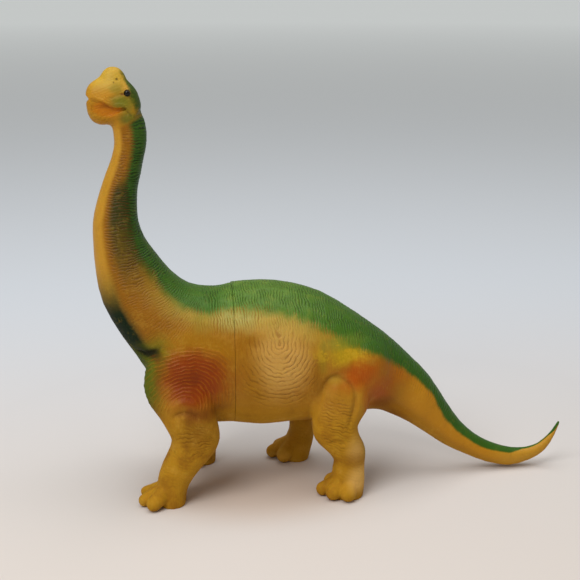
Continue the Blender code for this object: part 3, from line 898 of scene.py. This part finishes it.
def wrinkle_tree():
    """Geometry nodes that press the wrinkles into the skin along its stored lines."""
    tree = bpy.data.node_groups.new("Skin wrinkles", "GeometryNodeTree")
    sheet = Sheet(tree)
    face = tree.interface
    face.new_socket("Geometry", in_out="INPUT", socket_type="NodeSocketGeometry")
    for kind, *_ in WRINKLES:
        for measure in ("Spacing", "Depth"):
            socket = face.new_socket(f"{kind} {measure}", in_out="INPUT", socket_type="NodeSocketFloat")
            socket.subtype = "DISTANCE"
    face.new_socket("Seed", in_out="INPUT", socket_type="NodeSocketFloat")
    face.new_socket("Material", in_out="INPUT", socket_type="NodeSocketMaterial")
    face.new_socket("Geometry", in_out="OUTPUT", socket_type="NodeSocketGeometry")
    entry = tree.nodes.new("NodeGroupInput")
    given = {socket.name: Wire(sheet, socket) for socket in entry.outputs}

    def stored(name):
        return sheet.node("GeometryNodeInputNamedAttribute", {"data_type": "FLOAT"}, {"Name": name})

    place = sheet.node("GeometryNodeInputPosition")
    spacings = [given[f"{kind} Spacing"] for kind, *_ in WRINKLES]
    parts, close = wrinkle_parts(sheet, place, stored, given["Seed"], spacings)
    relief = close * 0.22 * MM
    for (kind, *_), part in zip(WRINKLES, parts):
        relief = relief - part * given[f"{kind} Depth"]
    normal = sheet.node("GeometryNodeInputNormal")
    push = sheet.node("ShaderNodeVectorMath", {"operation": "SCALE"}, {0: normal, "Scale": relief})
    pressed = sheet.node("GeometryNodeSetPosition", None, {"Geometry": given["Geometry"], "Offset": push})
    whole = sheet.node("GeometryNodeRealizeInstances", None, {0: pressed})
    dressed = sheet.node("GeometryNodeSetMaterial", None, {"Geometry": whole, "Material": given["Material"]})
    leave = tree.nodes.new("NodeGroupOutput")
    sheet.feed(leave.inputs[0], dressed)
    return tree


def coat(mesh, material):
    """Give the mesh this one material all over."""
    mesh.materials.clear()
    mesh.materials.append(material)
    faces = mesh.attributes.get("material_index")
    if faces:
        mesh.attributes.remove(faces)


def wrinkle(skin, settings, material):
    """Press the wrinkles into the skin and keep the result as its mesh."""
    nodes = skin.modifiers.new("wrinkles", "NODES")
    nodes.node_group = wrinkle_tree()
    values = {"Seed": float(settings.seed), "Material": material}
    for kind, *_ in WRINKLES:
        for measure in ("Spacing", "Depth"):
            values[f"{kind} {measure}"] = getattr(settings, f"{kind}_{measure}".lower())
    for socket in nodes.node_group.interface.items_tree:
        if socket.in_out == "INPUT" and socket.name in values:
            nodes[socket.identifier] = values[socket.name]
    bake(skin)
    coat(skin.data, material)


# Lower edge of the green band: how far round from the top it reaches at each run along the body
GREEN_EDGE = (
    (0, 0.47), (20, 0.45), (36, 0.42), (45, 0.34), (56, 0.31), (68, 0.35), (78, 0.30), (100, 0.29),
    (116, 0.26), (130, 0.215), (155, 0.235), (175, 0.265), (190, 0.305), (206, 0.325), (218, 0.32),
    (233, 0.285), (243, 0.29), (253, 0.37), (264, 0.36), (282, 0.345), (296, 0.27), (304, 0.10),
    (319, 0.06), (326, 0.50), (331, 1.0),
)

# Ovals laid on in this order, mostly paint and some painted light and shade as said at each table: place
# along the length and the height, half sizes in millimetres, share of the size that is solid, strength and
# colour, then wander of the edge and lean
FLANK_SPOTS = (
    (0.378, 0.345, 18, 25, 0.3, 1, "tan"), (0.370, 0.425, 26, 7, 0.2, 0.8, "tan"),
    (0.318, 0.270, 7, 22, 0.1, 0.55, (154, 104, 6)), (0.446, 0.300, 3.6, 18, 0.1, 0.7, (140, 92, 6)),
    (0.458, 0.345, 3.4, 12, 0.1, 0.5, (132, 118, 18)), (0.510, 0.350, 12, 8.5, 0.2, 1, "yellow"),
    (0.205, 0.345, 24, 17, 0.2, 0.9, (166, 126, 8)), (0.235, 0.285, 17, 20, 0.1, 0.8, (134, 80, 4)),
)
# On the chest: olive paint, then two near black ovals along the fold under the neck that are painted shade
CHEST_PAINT_AND_SHADE_SPOTS = (
    (0.127, 0.338, 7, 7, 0.1, 0.7, (98, 108, 12), 0.6), (0.117, 0.362, 5, 2.6, 0.1, 0.6, (18, 22, 4), 0.3),
    (0.104, 0.360, 9, 4.6, 0, 0.9, (18, 26, 6), 0.4, -0.5),
)
# On the hip and the hind leg: the third oval, pale on top of the thigh pad, and the fourth, pale on the calf,
# are painted light; the others are paint
THIGH_PAINT_AND_LIGHT_SPOTS = (
    (0.590, 0.212, 8, 5, 0.1, 0.7, (120, 68, 6)), (0.553, 0.222, 3.6, 15, 0.1, 0.7, (158, 84, 6), 0.3, -0.5),
    (0.484, 0.291, 6, 4, 0.1, 0.5, (172, 144, 40)), (0.528, 0.122, 7, 9, 0.1, 0.6, (196, 156, 88)),
)
# On the legs: the first oval, pale on the heel, is a painted highlight, the second darkens the hind leg above
# the heel, and the third, dark brown at the elbow, is painted shade
LEG_PAINT_LIGHT_AND_SHADE_SPOTS = (
    (0.538, 0.052, 9, 9, 0.3, 0.8, (220, 174, 92), 0.5), (0.520, 0.098, 9, 6, 0.1, 0.45, (128, 78, 4), 0.5),
    (0.205, 0.190, 15, 11, 0.1, 0.55, (112, 68, 2), 0.6),
)
HEAD_SPOTS = (
    (0.040, 0.980, 18, 9, 0.2, 1, "crest"), (0.034, 0.938, 12, 3.5, 0.2, 0.6, (196, 140, 40)),
    (0.058, 0.955, 4.5, 3.4, 0.2, 0.6, "olive"), (0.076, 0.922, 8, 7, 0.2, 0.85, "olive"),
    (0.066, 0.927, 8, 4, 0.1, 0.85, (112, 110, 24)), (0.083, 0.889, 6.5, 4.5, 0.3, 1, (108, 100, 22)),
)
FACE_SPOTS = (
    (0.060, 0.975, 0.8, 0.7, 0.3, 1, (112, 92, 26), 0.1),
    (0.054, 0.968, 0.5, 0.5, 0.4, 1, (130, 104, 30), 0.1), (*EYE, 1.8, 1.8, 0.8, 0.5, (168, 140, 70), 0),
    (0.071, 0.943, 1.7, 0.9, 0.2, 0.8, (108, 62, 10), 0.1),
)
# Painted shade: dark brown in the arched fold over the foreleg and in the crease of the elbow
ELBOW_SHADE_SPOTS = (
    (0.204, 0.224, 13, 5, 0.1, 0.75, (112, 58, 2), 0.4), (0.192, 0.160, 10, 9, 0.1, 0.3, (120, 72, 4), 0.5),
)


def start_material(name):
    """A new material, the sheet of its nodes and the place on the object."""
    material = bpy.data.materials.new(name)
    material.use_nodes = True
    sheet = Sheet(material.node_tree)
    return material, sheet, sheet.node("ShaderNodeTexCoord", None, None, "Object")


def vinyl(paint, skin_settings):
    """Golden vinyl with sprayed colours and some painted light and shade, laid on by the place on the body.
    """
    material, sheet, place = start_material("painted vinyl")
    x, y, z = sheet.split(place)
    x = x / LENGTH + 0.5
    z = z / HEIGHT
    out = abs(y) / (TRACK / 2)

    def stored(name):
        return sheet.node("ShaderNodeAttribute", {"attribute_name": name}, None, "Fac")

    run = stored("run") / MM
    spread = stored("spread")
    fold = stored("fold") * -1
    spacings = [getattr(skin_settings, f"{kind.lower()}_spacing") for kind, *_ in WRINKLES]
    seed = [float(skin_settings.seed)] * 3
    (ring, upright, whorl, arch, crease), _ = wrinkle_parts(sheet, place, stored, seed, spacings, 1.2)
    comb = -arch
    furrow = ring + upright + whorl + crease
    cloud = sheet.noise(place, 34, 3) - 0.5
    mottle = sheet.noise(place, 150, 4, 0.6) - 0.5
    grit = sheet.noise(place, 800, 2) - 0.5
    grain = mottle + grit * 0.5

    def spot(middle_x, middle_z, half_x, half_z, solid, wander=0.35, lean=0):
        """An oval on the sides, for paint and for painted light and shade: 1 in the solid middle, 0 outside;
        half sizes in millimetres.
        """
        upward = (z - middle_z) * (HEIGHT / MM / half_z)
        across = (x - middle_x) * (LENGTH / MM / half_x) - upward * lean
        far = (across * across + upward * upward).root() + cloud * wander + mottle * wander
        return far.step(1, solid)

    # Lay a colour over the skin: paint, and painted light and shade where said
    def spray(share, colour):
        nonlocal skin
        skin = sheet.blend(share, skin, colour)

    def spray_spots(spots, where=1):
        for middle_x, middle_z, half_x, half_z, solid, strength, colour, *edge in spots:
            colour = getattr(paint, colour) if isinstance(colour, str) else srgb(*colour)
            spray(spot(middle_x, middle_z, half_x, half_z, solid, *edge) * where * strength, colour)

    rings = run.groove(1.2, cloud * 3.4 + mottle * 2.6, 1.3)
    uprights = (x * (LENGTH / MM)).groove(1.15, cloud * 4.2 + mottle * 3.0, 1.3)
    on_back = run.step(100, 122) * x.step(0.66, 0.58)
    hair = rings * (1 - on_back) + uprights * on_back
    lines = (furrow.most(0) * 1.05 + hair * 0.25).least(1)

    skin = sheet.blend((cloud + mottle * 0.6).step(-0.12, 0.16), paint.ochre, srgb(152, 100, 10))
    spray(z.step(0.24, 0.18), paint.leg)
    low = z.step(0.26, 0.16)
    spray(low * (mottle + cloud).step(-0.02, 0.25) * 0.6, srgb(190, 142, 50))
    spray(low * (mottle + cloud).step(-0.02, -0.25) * 0.5, srgb(140, 88, 8))
    neck = run.step(118, 100) * run.step(-3, 3)
    tail = run.step(200, 222)
    spray(neck.most(tail), paint.amber)
    spray(neck * (spread + cloud * 0.05).step(0.62, 0.72), paint.gold)
    spray(tail * run.step(214, 236) * (spread + cloud * 0.2).step(0.80, 0.50), srgb(186, 128, 20))
    spray(tail * (spread + cloud * 0.1).step(0.55, 0.8) * run.step(226, 246) * 0.8, paint.gold)
    spray(tail * run.step(280, 300), paint.gold)
    spray_spots(FLANK_SPOTS)

    # The green band along the back, with a pale halo under its edge
    band = sheet.curve(run, 0, 330, GREEN_EDGE)
    height = spread - band + mottle * 0.07 + (lines - 0.4) * 0.03
    soft = 0.085 - run.step(60, 120) * 0.045
    green = (height / soft).step(0.9, -0.9) * run.step(-4, 2)
    halo = (height / soft).step(3.4, 0.2) * run.step(60, 110) * x.step(0.52, 0.42)
    spray(halo * (0.7 - lines * 0.4) * (cloud + 0.8), srgb(164, 152, 60))
    near_seam = spot(0.285, 0.440, 17, 8, 0.1)
    spray(near_seam * (0.75 - lines * 0.7), srgb(178, 170, 94))
    shade = sheet.blend(run.step(60, 112), srgb(54, 90, 24), paint.green)
    shade = sheet.blend(run.step(116, 140) * run.step(200, 160) * (mottle + 0.4), shade, srgb(112, 142, 58))
    # Painted highlight: lighter green along the top line of the neck
    shade = sheet.blend(spread.step(0.09, 0.0) * run.step(100, 60) * 0.45, shade, srgb(92, 128, 62))
    shade = sheet.blend(run.step(188, 222) * 0.7, shade, srgb(42, 84, 18))
    in_lines = (lines * (1.4 - run.step(60, 110) * 0.4)).least(0.92) * (0.95 - run.step(90, 130) * 0.4)
    shade = sheet.blend(in_lines, shade, paint.deep_green)
    spray(green, shade)
    spray(spot(0.508, 0.374, 14, 4.5, 0.1, 0.7) * 0.45, srgb(124, 140, 44))

    # The dark wash down the side of the neck
    below_band = spread - band
    off_green = below_band.step(-0.10, -0.01)
    wash = run.step(28, 40) * run.step(90, 60) * (spread + cloud * 0.1).step(0.63, 0.50) * off_green
    spray(wash * 0.75, sheet.blend(below_band.step(0.15, 0.03), srgb(58, 64, 10), srgb(28, 62, 14)))
    spray(wash * run.step(33, 39) * run.step(60, 48) * 0.75, srgb(24, 48, 10))
    in_wash = sheet.blend(run.step(50, 66), paint.deep_green, srgb(52, 46, 6))
    spray(wash * (lines * 1.2).least(0.92), in_wash)
    in_neck = spread.step(0.68, 0.60) * lines * (0.6 - run.step(64, 88) * 0.35)
    spray(neck * off_green * in_neck, srgb(104, 62, 6))

    # The green throat and chest
    throat = (spread + cloud * 0.05 + mottle * 0.05).step(0.60, 0.70) * run.step(68, 90)
    spray(throat * run.step(126, 112), sheet.blend(run.step(72, 92), srgb(56, 70, 24), srgb(12, 30, 8)))
    below = run.step(100, 108) * run.step(126, 110)
    rim = spread + cloud * 0.12 + mottle * 0.16
    spray(below * rim.step(0.46, 0.62) * 0.8, srgb(104, 108, 8))
    breast = sheet.blend(z.step(0.30, 0.35), srgb(74, 90, 14), srgb(40, 58, 10))
    spray(below * rim.step(0.68, 0.84) * 0.85, breast)
    spray_spots(CHEST_PAINT_AND_SHADE_SPOTS)

    # The patches on the shoulder, the hip and the hind leg
    brick = spot(0.197, 0.310, 21, 18, 0.35, 0.5)
    spray(spot(0.208, 0.316, 28, 23, 0.25) * x.step(0.126, 0.160) * 0.65, srgb(150, 84, 2))
    spray(brick * 0.95, paint.brick)
    spray(spot(0.186, 0.298, 12, 12, 0.1, 0.5) * 0.35, srgb(108, 38, 0))
    spray(spot(0.200, 0.310, 27, 22, 0.6) * comb * 0.42, srgb(186, 112, 16))
    bare = 1 - green
    spray(spot(0.502, 0.350, 22, 9, 0.2, 0.6) * grain.step(-0.06, 0.1) * bare * 0.8, srgb(192, 154, 26))
    hip = spot(0.534, 0.300, 17, 10, 0.1, 0.7, 0.3).most(spot(0.580, 0.250, 10, 12, 0.1, 0.6) * 0.85)
    spray(hip * bare * (0.95 - lines * 0.3), paint.orange)
    spray(spot(0.620, 0.285, 15, 9, 0.1, 0.6) * bare * 0.5, srgb(176, 96, 4))
    spray_spots(THIGH_PAINT_AND_LIGHT_SPOTS)
    spray(spot(0.556, 0.135, 6, 12, 0.2) * 0.8 * x.step(0.535, 0.555), srgb(118, 128, 60))
    spray_spots(LEG_PAINT_LIGHT_AND_SHADE_SPOTS)

    # The golden head with its green crown and the open mouth
    head = (z + (0.075 - x) * 0.6).step(0.868, 0.882) * run.step(16, 6)
    spray(head, srgb(173, 122, 21))
    spray_spots(HEAD_SPOTS, head)
    spray(head * (x + (z - 0.945) * 0.30 + mottle * 0.03).step(0.080, 0.090), srgb(58, 80, 18))
    inside = spot(0.041, 0.910, 9.5, 4.6, 0.5, 0.2) * out.step(0.32, 0.25) * x.step(0.080, 0.062)
    spray(inside, paint.mouth)
    # Painted shadow under the upper lip, inside the mouth
    spray(spot(0.050, 0.919, 8, 2.4, 0.1, 0.2, 0.6) * inside * 0.7, srgb(120, 66, 4))
    spray_spots(FACE_SPOTS, head)

    # Paint that has run into the wrinkles, painted shade in the folds, and the flecks over all
    dent = (furrow * 1.3).least(1).most(0) * bare * (1 - neck) * 0.42
    spray(dent, sheet.blend(halo.most(near_seam), srgb(112, 66, 6), srgb(104, 96, 24)))
    # Painted shade: darker in the folds of the legs and near black in the fold under the neck
    painted_fold_shade = fold.step(0.1, 1.3)
    spray(painted_fold_shade * z.step(0.34, 0.30) * x.step(0.550, 0.530) * 0.4, srgb(98, 56, 6))
    spray(painted_fold_shade * z.step(0.30, 0.34) * x.step(0.144, 0.096) * 0.9, srgb(24, 28, 6))
    spray_spots(ELBOW_SHADE_SPOTS)
    spray(grain.step(0.02, 0.24) * (1 - green * 0.6) * (1 - brick) * 0.10, srgb(222, 180, 70))
    spray(grain.step(-0.02, -0.24) * 0.12, srgb(92, 56, 4))

    fine = grit * 0.3 + mottle * 0.9 - hair * 0.25 - furrow * 1.1 + comb
    bump = sheet.node("ShaderNodeBump", None, {"Strength": 0.8, "Distance": 0.2 * MM, "Height": fine})
    roughness = paint.roughness + mottle * 0.2 - green * 0.04 + throat * 0.3
    sheet.shade({"Base Color": skin, "Roughness": roughness, "Normal": bump, "Specular IOR Level": 0.16,
                 "Subsurface Weight": 0.12, "Subsurface Radius": (1, 0.45, 0.12),
                 "Subsurface Scale": 1.2 * MM})
    return material


def lacquer(paint):
    material, sheet, place = start_material("eye lacquer")
    dust = sheet.noise(place, 900, 3)
    colour = sheet.blend(dust.step(0.4, 0.8), paint.lacquer, srgb(26, 18, 12))
    sheet.shade({"Base Color": colour, "Roughness": dust * 0.12 + 0.12, "Specular IOR Level": 0.3})
    return material


def section(place, inset):
    """The body's outline where a plane across its length meets it, drawn in by the inset."""
    rings = body_rings(inset)
    ring = []
    for i in range(BODY_POINTS):
        line = [row[i] for row in rings]
        for here, there in zip(line, line[1:]):
            if here.x < place <= there.x:
                ring.append(here.lerp(there, (place - here.x) / (there.x - here.x)))
                break
    return ring


def seam_loft(name, profile):
    shape = bmesh.new()
    fill_loft(shape, [section(along(SEAM_SHARE) + place, inset) for place, inset in profile])
    return add_object(name, shape)


def hollow_core():
    """The space inside both shells."""
    shape = bmesh.new()
    fill_loft(shape, body_rings(WALL, BODY_RIBS[CORE_RIBS]))
    for rows, side, _ in LEGS:
        fill_loft(shape, leg_rings(rows[:CORE_LEG_ROWS], side, WALL))
    core = add_object("core", shape)
    even_out(core, FORM_GRAIN)
    soften(core, FORM_ROUNDS)
    bake(core)
    thin_out(core, CORE_FACETS)
    return core


def collar_forms():
    """The collar's plug, the bore through it, and the mouth that it needs in the rear shell."""
    outer = WALL + FIT_GAP
    bead = COLLAR_REACH - BEAD_WIDTH
    deep = COLLAR_REACH + COLLAR_ROOT
    plug = seam_loft("collar plug", (
        (-COLLAR_ROOT, WALL / 2), (-FIT_GAP, WALL / 2), (-FIT_GAP, outer),
        (bead - BEAD_WIDTH / 2, outer), (bead, outer - BEAD_HEIGHT), (bead + BEAD_WIDTH / 2, outer),
        (COLLAR_REACH, outer + BEAD_HEIGHT)))
    bore = seam_loft("collar bore", (
        (-COLLAR_ROOT - OVERRUN, outer + COLLAR_WALL), (COLLAR_REACH + OVERRUN, outer + COLLAR_WALL)))
    mouth = seam_loft("mouth", (
        (-OVERRUN, WALL), (bead - BEAD_WIDTH / 2 - FIT_GAP, WALL), (bead, WALL - BEAD_HEIGHT - FIT_GAP),
        (bead + BEAD_WIDTH / 2 + FIT_GAP, WALL), (deep, WALL), (deep + WALL, 2 * WALL)))
    return plug, bore, mouth


def halves():
    """Blocks that take away all behind and all before the seam, and all below the ground."""
    seam = along(SEAM_SHARE)
    reach = LENGTH + HEIGHT
    low = Vector((-reach, -reach, -reach))
    high = Vector((reach, reach, reach))
    behind = block("behind", Vector((seam - SEAM_GAP / 2, low.y, low.z)), high)
    before = block("before", low, Vector((seam + SEAM_GAP / 2, high.y, high.z)))
    ground = block("ground", low, Vector((high.x, high.y, 0)))
    return behind, before, ground


def crisp(mesh):
    """Smooth shading with crisp rims."""
    mesh.shade_smooth()
    mesh.set_sharp_from_angle(angle=SHARP_ANGLE)


def dress(piece, node):
    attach(piece, "root")
    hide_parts(node)


def eye_drop(name, side):
    """The drop of lacquer that fills an eye's socket and domes out of it."""
    low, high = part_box(name)
    dome = max(abs(low[1]), abs(high[1])) - EYE_REACH
    middle = eye_place(side, 0)
    profile = [(EYE_REACH - EYE_DEPTH, 1), (EYE_REACH, 1)]
    for i in range(1, EYE_RINGS):
        angle = math.pi / 2 * i / EYE_RINGS
        profile.append((EYE_REACH + dome * math.sin(angle), math.cos(angle)))
    rings = []
    for reach, share in profile:
        ring = []
        radius = EYE_DIAMETER / 2 * share
        for i in range(EYE_POINTS):
            angle = 2 * math.pi * i / EYE_POINTS
            ring.append(Vector((middle.x + radius * math.cos(angle), side * reach,
                                middle.z + radius * math.sin(angle))))
        rings.append(ring)
    shape = bmesh.new()
    fill_loft(shape, rings)
    return add_object(f"{name}_drop", shape)


class FIGURE_OT_skin(bpy.types.Operator):
    """Sculpt the skin of the whole figure, wrinkle it and lay its paint"""
    bl_idname = "figure.skin"
    bl_label = "Sculpt the skin"

    def execute(self, context):
        settings = context.scene.figure_skin
        grain = settings.grain * 1
        skin = add_details(main_form(), grain)
        press_folds(skin.data)
        measure_skin(skin.data)
        wrinkle(skin, settings, vinyl(context.scene.figure_paint, settings))
        return {"FINISHED"}


class FIGURE_OT_shells(bpy.types.Operator):
    """Part the skin into the hollow front shell with its collar and the hollow rear shell"""
    bl_idname = "figure.shells"
    bl_label = "Part the shells"

    def execute(self, context):
        skin = bpy.data.objects.get("skin")
        if skin is None:
            raise RuntimeError("the skin is not there yet")
        core = hollow_core()
        plug, bore, mouth = collar_forms()
        behind, before, ground = halves()
        sockets = [drum("eye socket", eye_place(side, EYE_REACH - EYE_DEPTH - FIT_GAP + OVERRUN / 2),
                        EYE_DIAMETER / 2 + FIT_GAP, OVERRUN) for side in (-1, 1)]
        plans = (
            ("painted_front_shell", "front_shell", (behind, core, plug, bore, ground, *sockets)),
            ("painted_rear_shell", "rear_shell", (before, core, mouth, ground)),
        )
        material = skin.data.materials[0]
        for name, node, tools in plans:
            shell = add_mesh(name, skin.data.copy())
            for tool in tools:
                cut(shell, tool, "UNION" if tool is plug else "DIFFERENCE")
            thin_out(shell, SHELL_FACETS)
            coat(shell.data, material)
            run, spread = body_measure(points_of(shell.data))
            store(shell.data, "run", run)
            store(shell.data, "spread", spread)
            crisp(shell.data)
            dress(shell, node)
        remove([skin, core, plug, bore, mouth, behind, before, ground, *sockets])
        return {"FINISHED"}


class FIGURE_OT_eyes(bpy.types.Operator):
    """Set the glossy drops of lacquer into the eye sockets"""
    bl_idname = "figure.eyes"
    bl_label = "Set the eyes"

    def execute(self, context):
        material = lacquer(context.scene.figure_paint)
        for name, side in (("left_eye", -1), ("right_eye", 1)):
            drop = eye_drop(name, side)
            coat(drop.data, material)
            crisp(drop.data)
            dress(drop, name)
        return {"FINISHED"}


class FIGURE_OT_studio(bpy.types.Operator):
    """Lay the pale floor, hang the soft lamps and place the camera"""
    bl_idname = "figure.studio"
    bl_label = "Set up the studio"

    def execute(self, context):
        settings = context.scene.figure_studio
        scene = context.scene
        scene.view_settings.view_transform = "Standard"
        shape = bmesh.new()
        bmesh.ops.create_grid(shape, x_segments=1, y_segments=1, size=12)
        floor = add_object("floor", shape)
        floor.data.materials.append(floor_material(settings))
        lamp("key lamp", settings.key_power, *KEY_LAMP)
        lamp("top lamp", settings.top_power, *TOP_LAMP)
        world = bpy.data.worlds.new("studio")
        world.use_nodes = True
        scene.world = world
        sheet = Sheet(world.node_tree)
        seen = sheet.node("ShaderNodeLightPath", None, None, "Is Camera Ray")
        around = [settings.fill * share for share in (1.0, 0.95, 0.89)]
        sheet.feed(world.node_tree.nodes["Background"].inputs["Color"],
                   sheet.blend(seen, around, srgb(187, 190, 189)))
        set_camera(settings)
        return {"FINISHED"}


def floor_material(settings):
    material, sheet, place = start_material("pale floor")
    x, y, _ = sheet.split(place)
    reach = sheet.node("ShaderNodeVectorMath", {"operation": "LENGTH"}, {0: place}, 1)
    tone = sheet.blend(y.step(-0.15, 0.4), settings.floor, settings.wall)
    # Painted shadow: the floor is darker and warmer in an oval under the figure
    across, deep = [(wire - middle) / half for wire, (middle, half) in zip((x, y), PAINTED_FLOOR_SHADOW)]
    painted_shadow = (across * across + deep * deep).root().step(1.15, 0.3)
    tone = sheet.blend(painted_shadow, tone, srgb(203, 187, 174))
    tone = sheet.blend(sheet.noise(place, 6, 2) * 0.06, tone, srgb(236, 232, 228))
    # Painted light: the floor glows more the farther it lies from the middle
    far = ((reach - 0.2) / 4.5).most(0).least(1) ** 0.67
    painted_glow = sheet.blend(far, srgb(0, 0, 0), settings.painted_glow)
    sheet.shade({"Base Color": tone, "Emission Color": painted_glow, "Emission Strength": 1, "Roughness": 0.75})
    return material


def lamp(name, power, size, place, target):
    light = bpy.data.lights.new(name, "AREA")
    light.energy = power
    light.size = size
    thing = bpy.data.objects.new(name, light)
    thing.location = place
    thing.rotation_euler = (Vector(target) - Vector(place)).to_track_quat("-Z", "Y").to_euler()
    bpy.context.scene.collection.objects.link(thing)


def set_camera(settings):
    turn, tilt = CAMERA_TURN, CAMERA_TILT
    back = Vector((math.sin(turn) * math.cos(tilt), -math.cos(turn) * math.cos(tilt), math.sin(tilt)))
    data = bpy.data.cameras.new("camera")
    data.sensor_width = 36
    data.lens = settings.lens
    data.clip_start = 0.01
    data.clip_end = 100
    camera = bpy.data.objects.new("camera", data)
    camera.location = Vector(CAMERA_AIM) * MM + back * CAMERA_DISTANCE * MM
    camera.rotation_euler = back.to_track_quat("Z", "Y").to_euler()
    bpy.context.scene.collection.objects.link(camera)
    bpy.context.scene.camera = camera


class FIGURE_PT_panel(bpy.types.Panel):
    """Sizes, colours and steps of the figure"""
    bl_label = "Toy dinosaur figure"
    bl_idname = "FIGURE_PT_panel"
    bl_space_type = "VIEW_3D"
    bl_region_type = "UI"
    bl_category = "Figure"

    def draw(self, context):
        for group in (context.scene.figure_skin, context.scene.figure_paint, context.scene.figure_studio):
            box = self.layout.box()
            for name in group.__annotations__:
                box.prop(group, name)
        for step in STEPS_IN_ORDER:
            self.layout.operator(step.bl_idname)


STEPS_IN_ORDER = (FIGURE_OT_skin, FIGURE_OT_shells, FIGURE_OT_eyes, FIGURE_OT_studio)
GROUPS = {"figure_skin": SkinSettings, "figure_paint": PaintSettings, "figure_studio": StudioSettings}


def register():
    for kind in (*GROUPS.values(), *STEPS_IN_ORDER, FIGURE_PT_panel):
        bpy.utils.register_class(kind)
    for name, kind in GROUPS.items():
        setattr(bpy.types.Scene, name, PointerProperty(type=kind))


def unregister():
    for name in GROUPS:
        delattr(bpy.types.Scene, name)
    for kind in (FIGURE_PT_panel, *reversed(STEPS_IN_ORDER), *reversed(GROUPS.values())):
        bpy.utils.unregister_class(kind)


def main():
    register()
    bpy.ops.figure.skin()
    bpy.ops.figure.shells()
    bpy.ops.figure.eyes()
    bpy.ops.figure.studio()


if __name__ == "__main__":
    main()
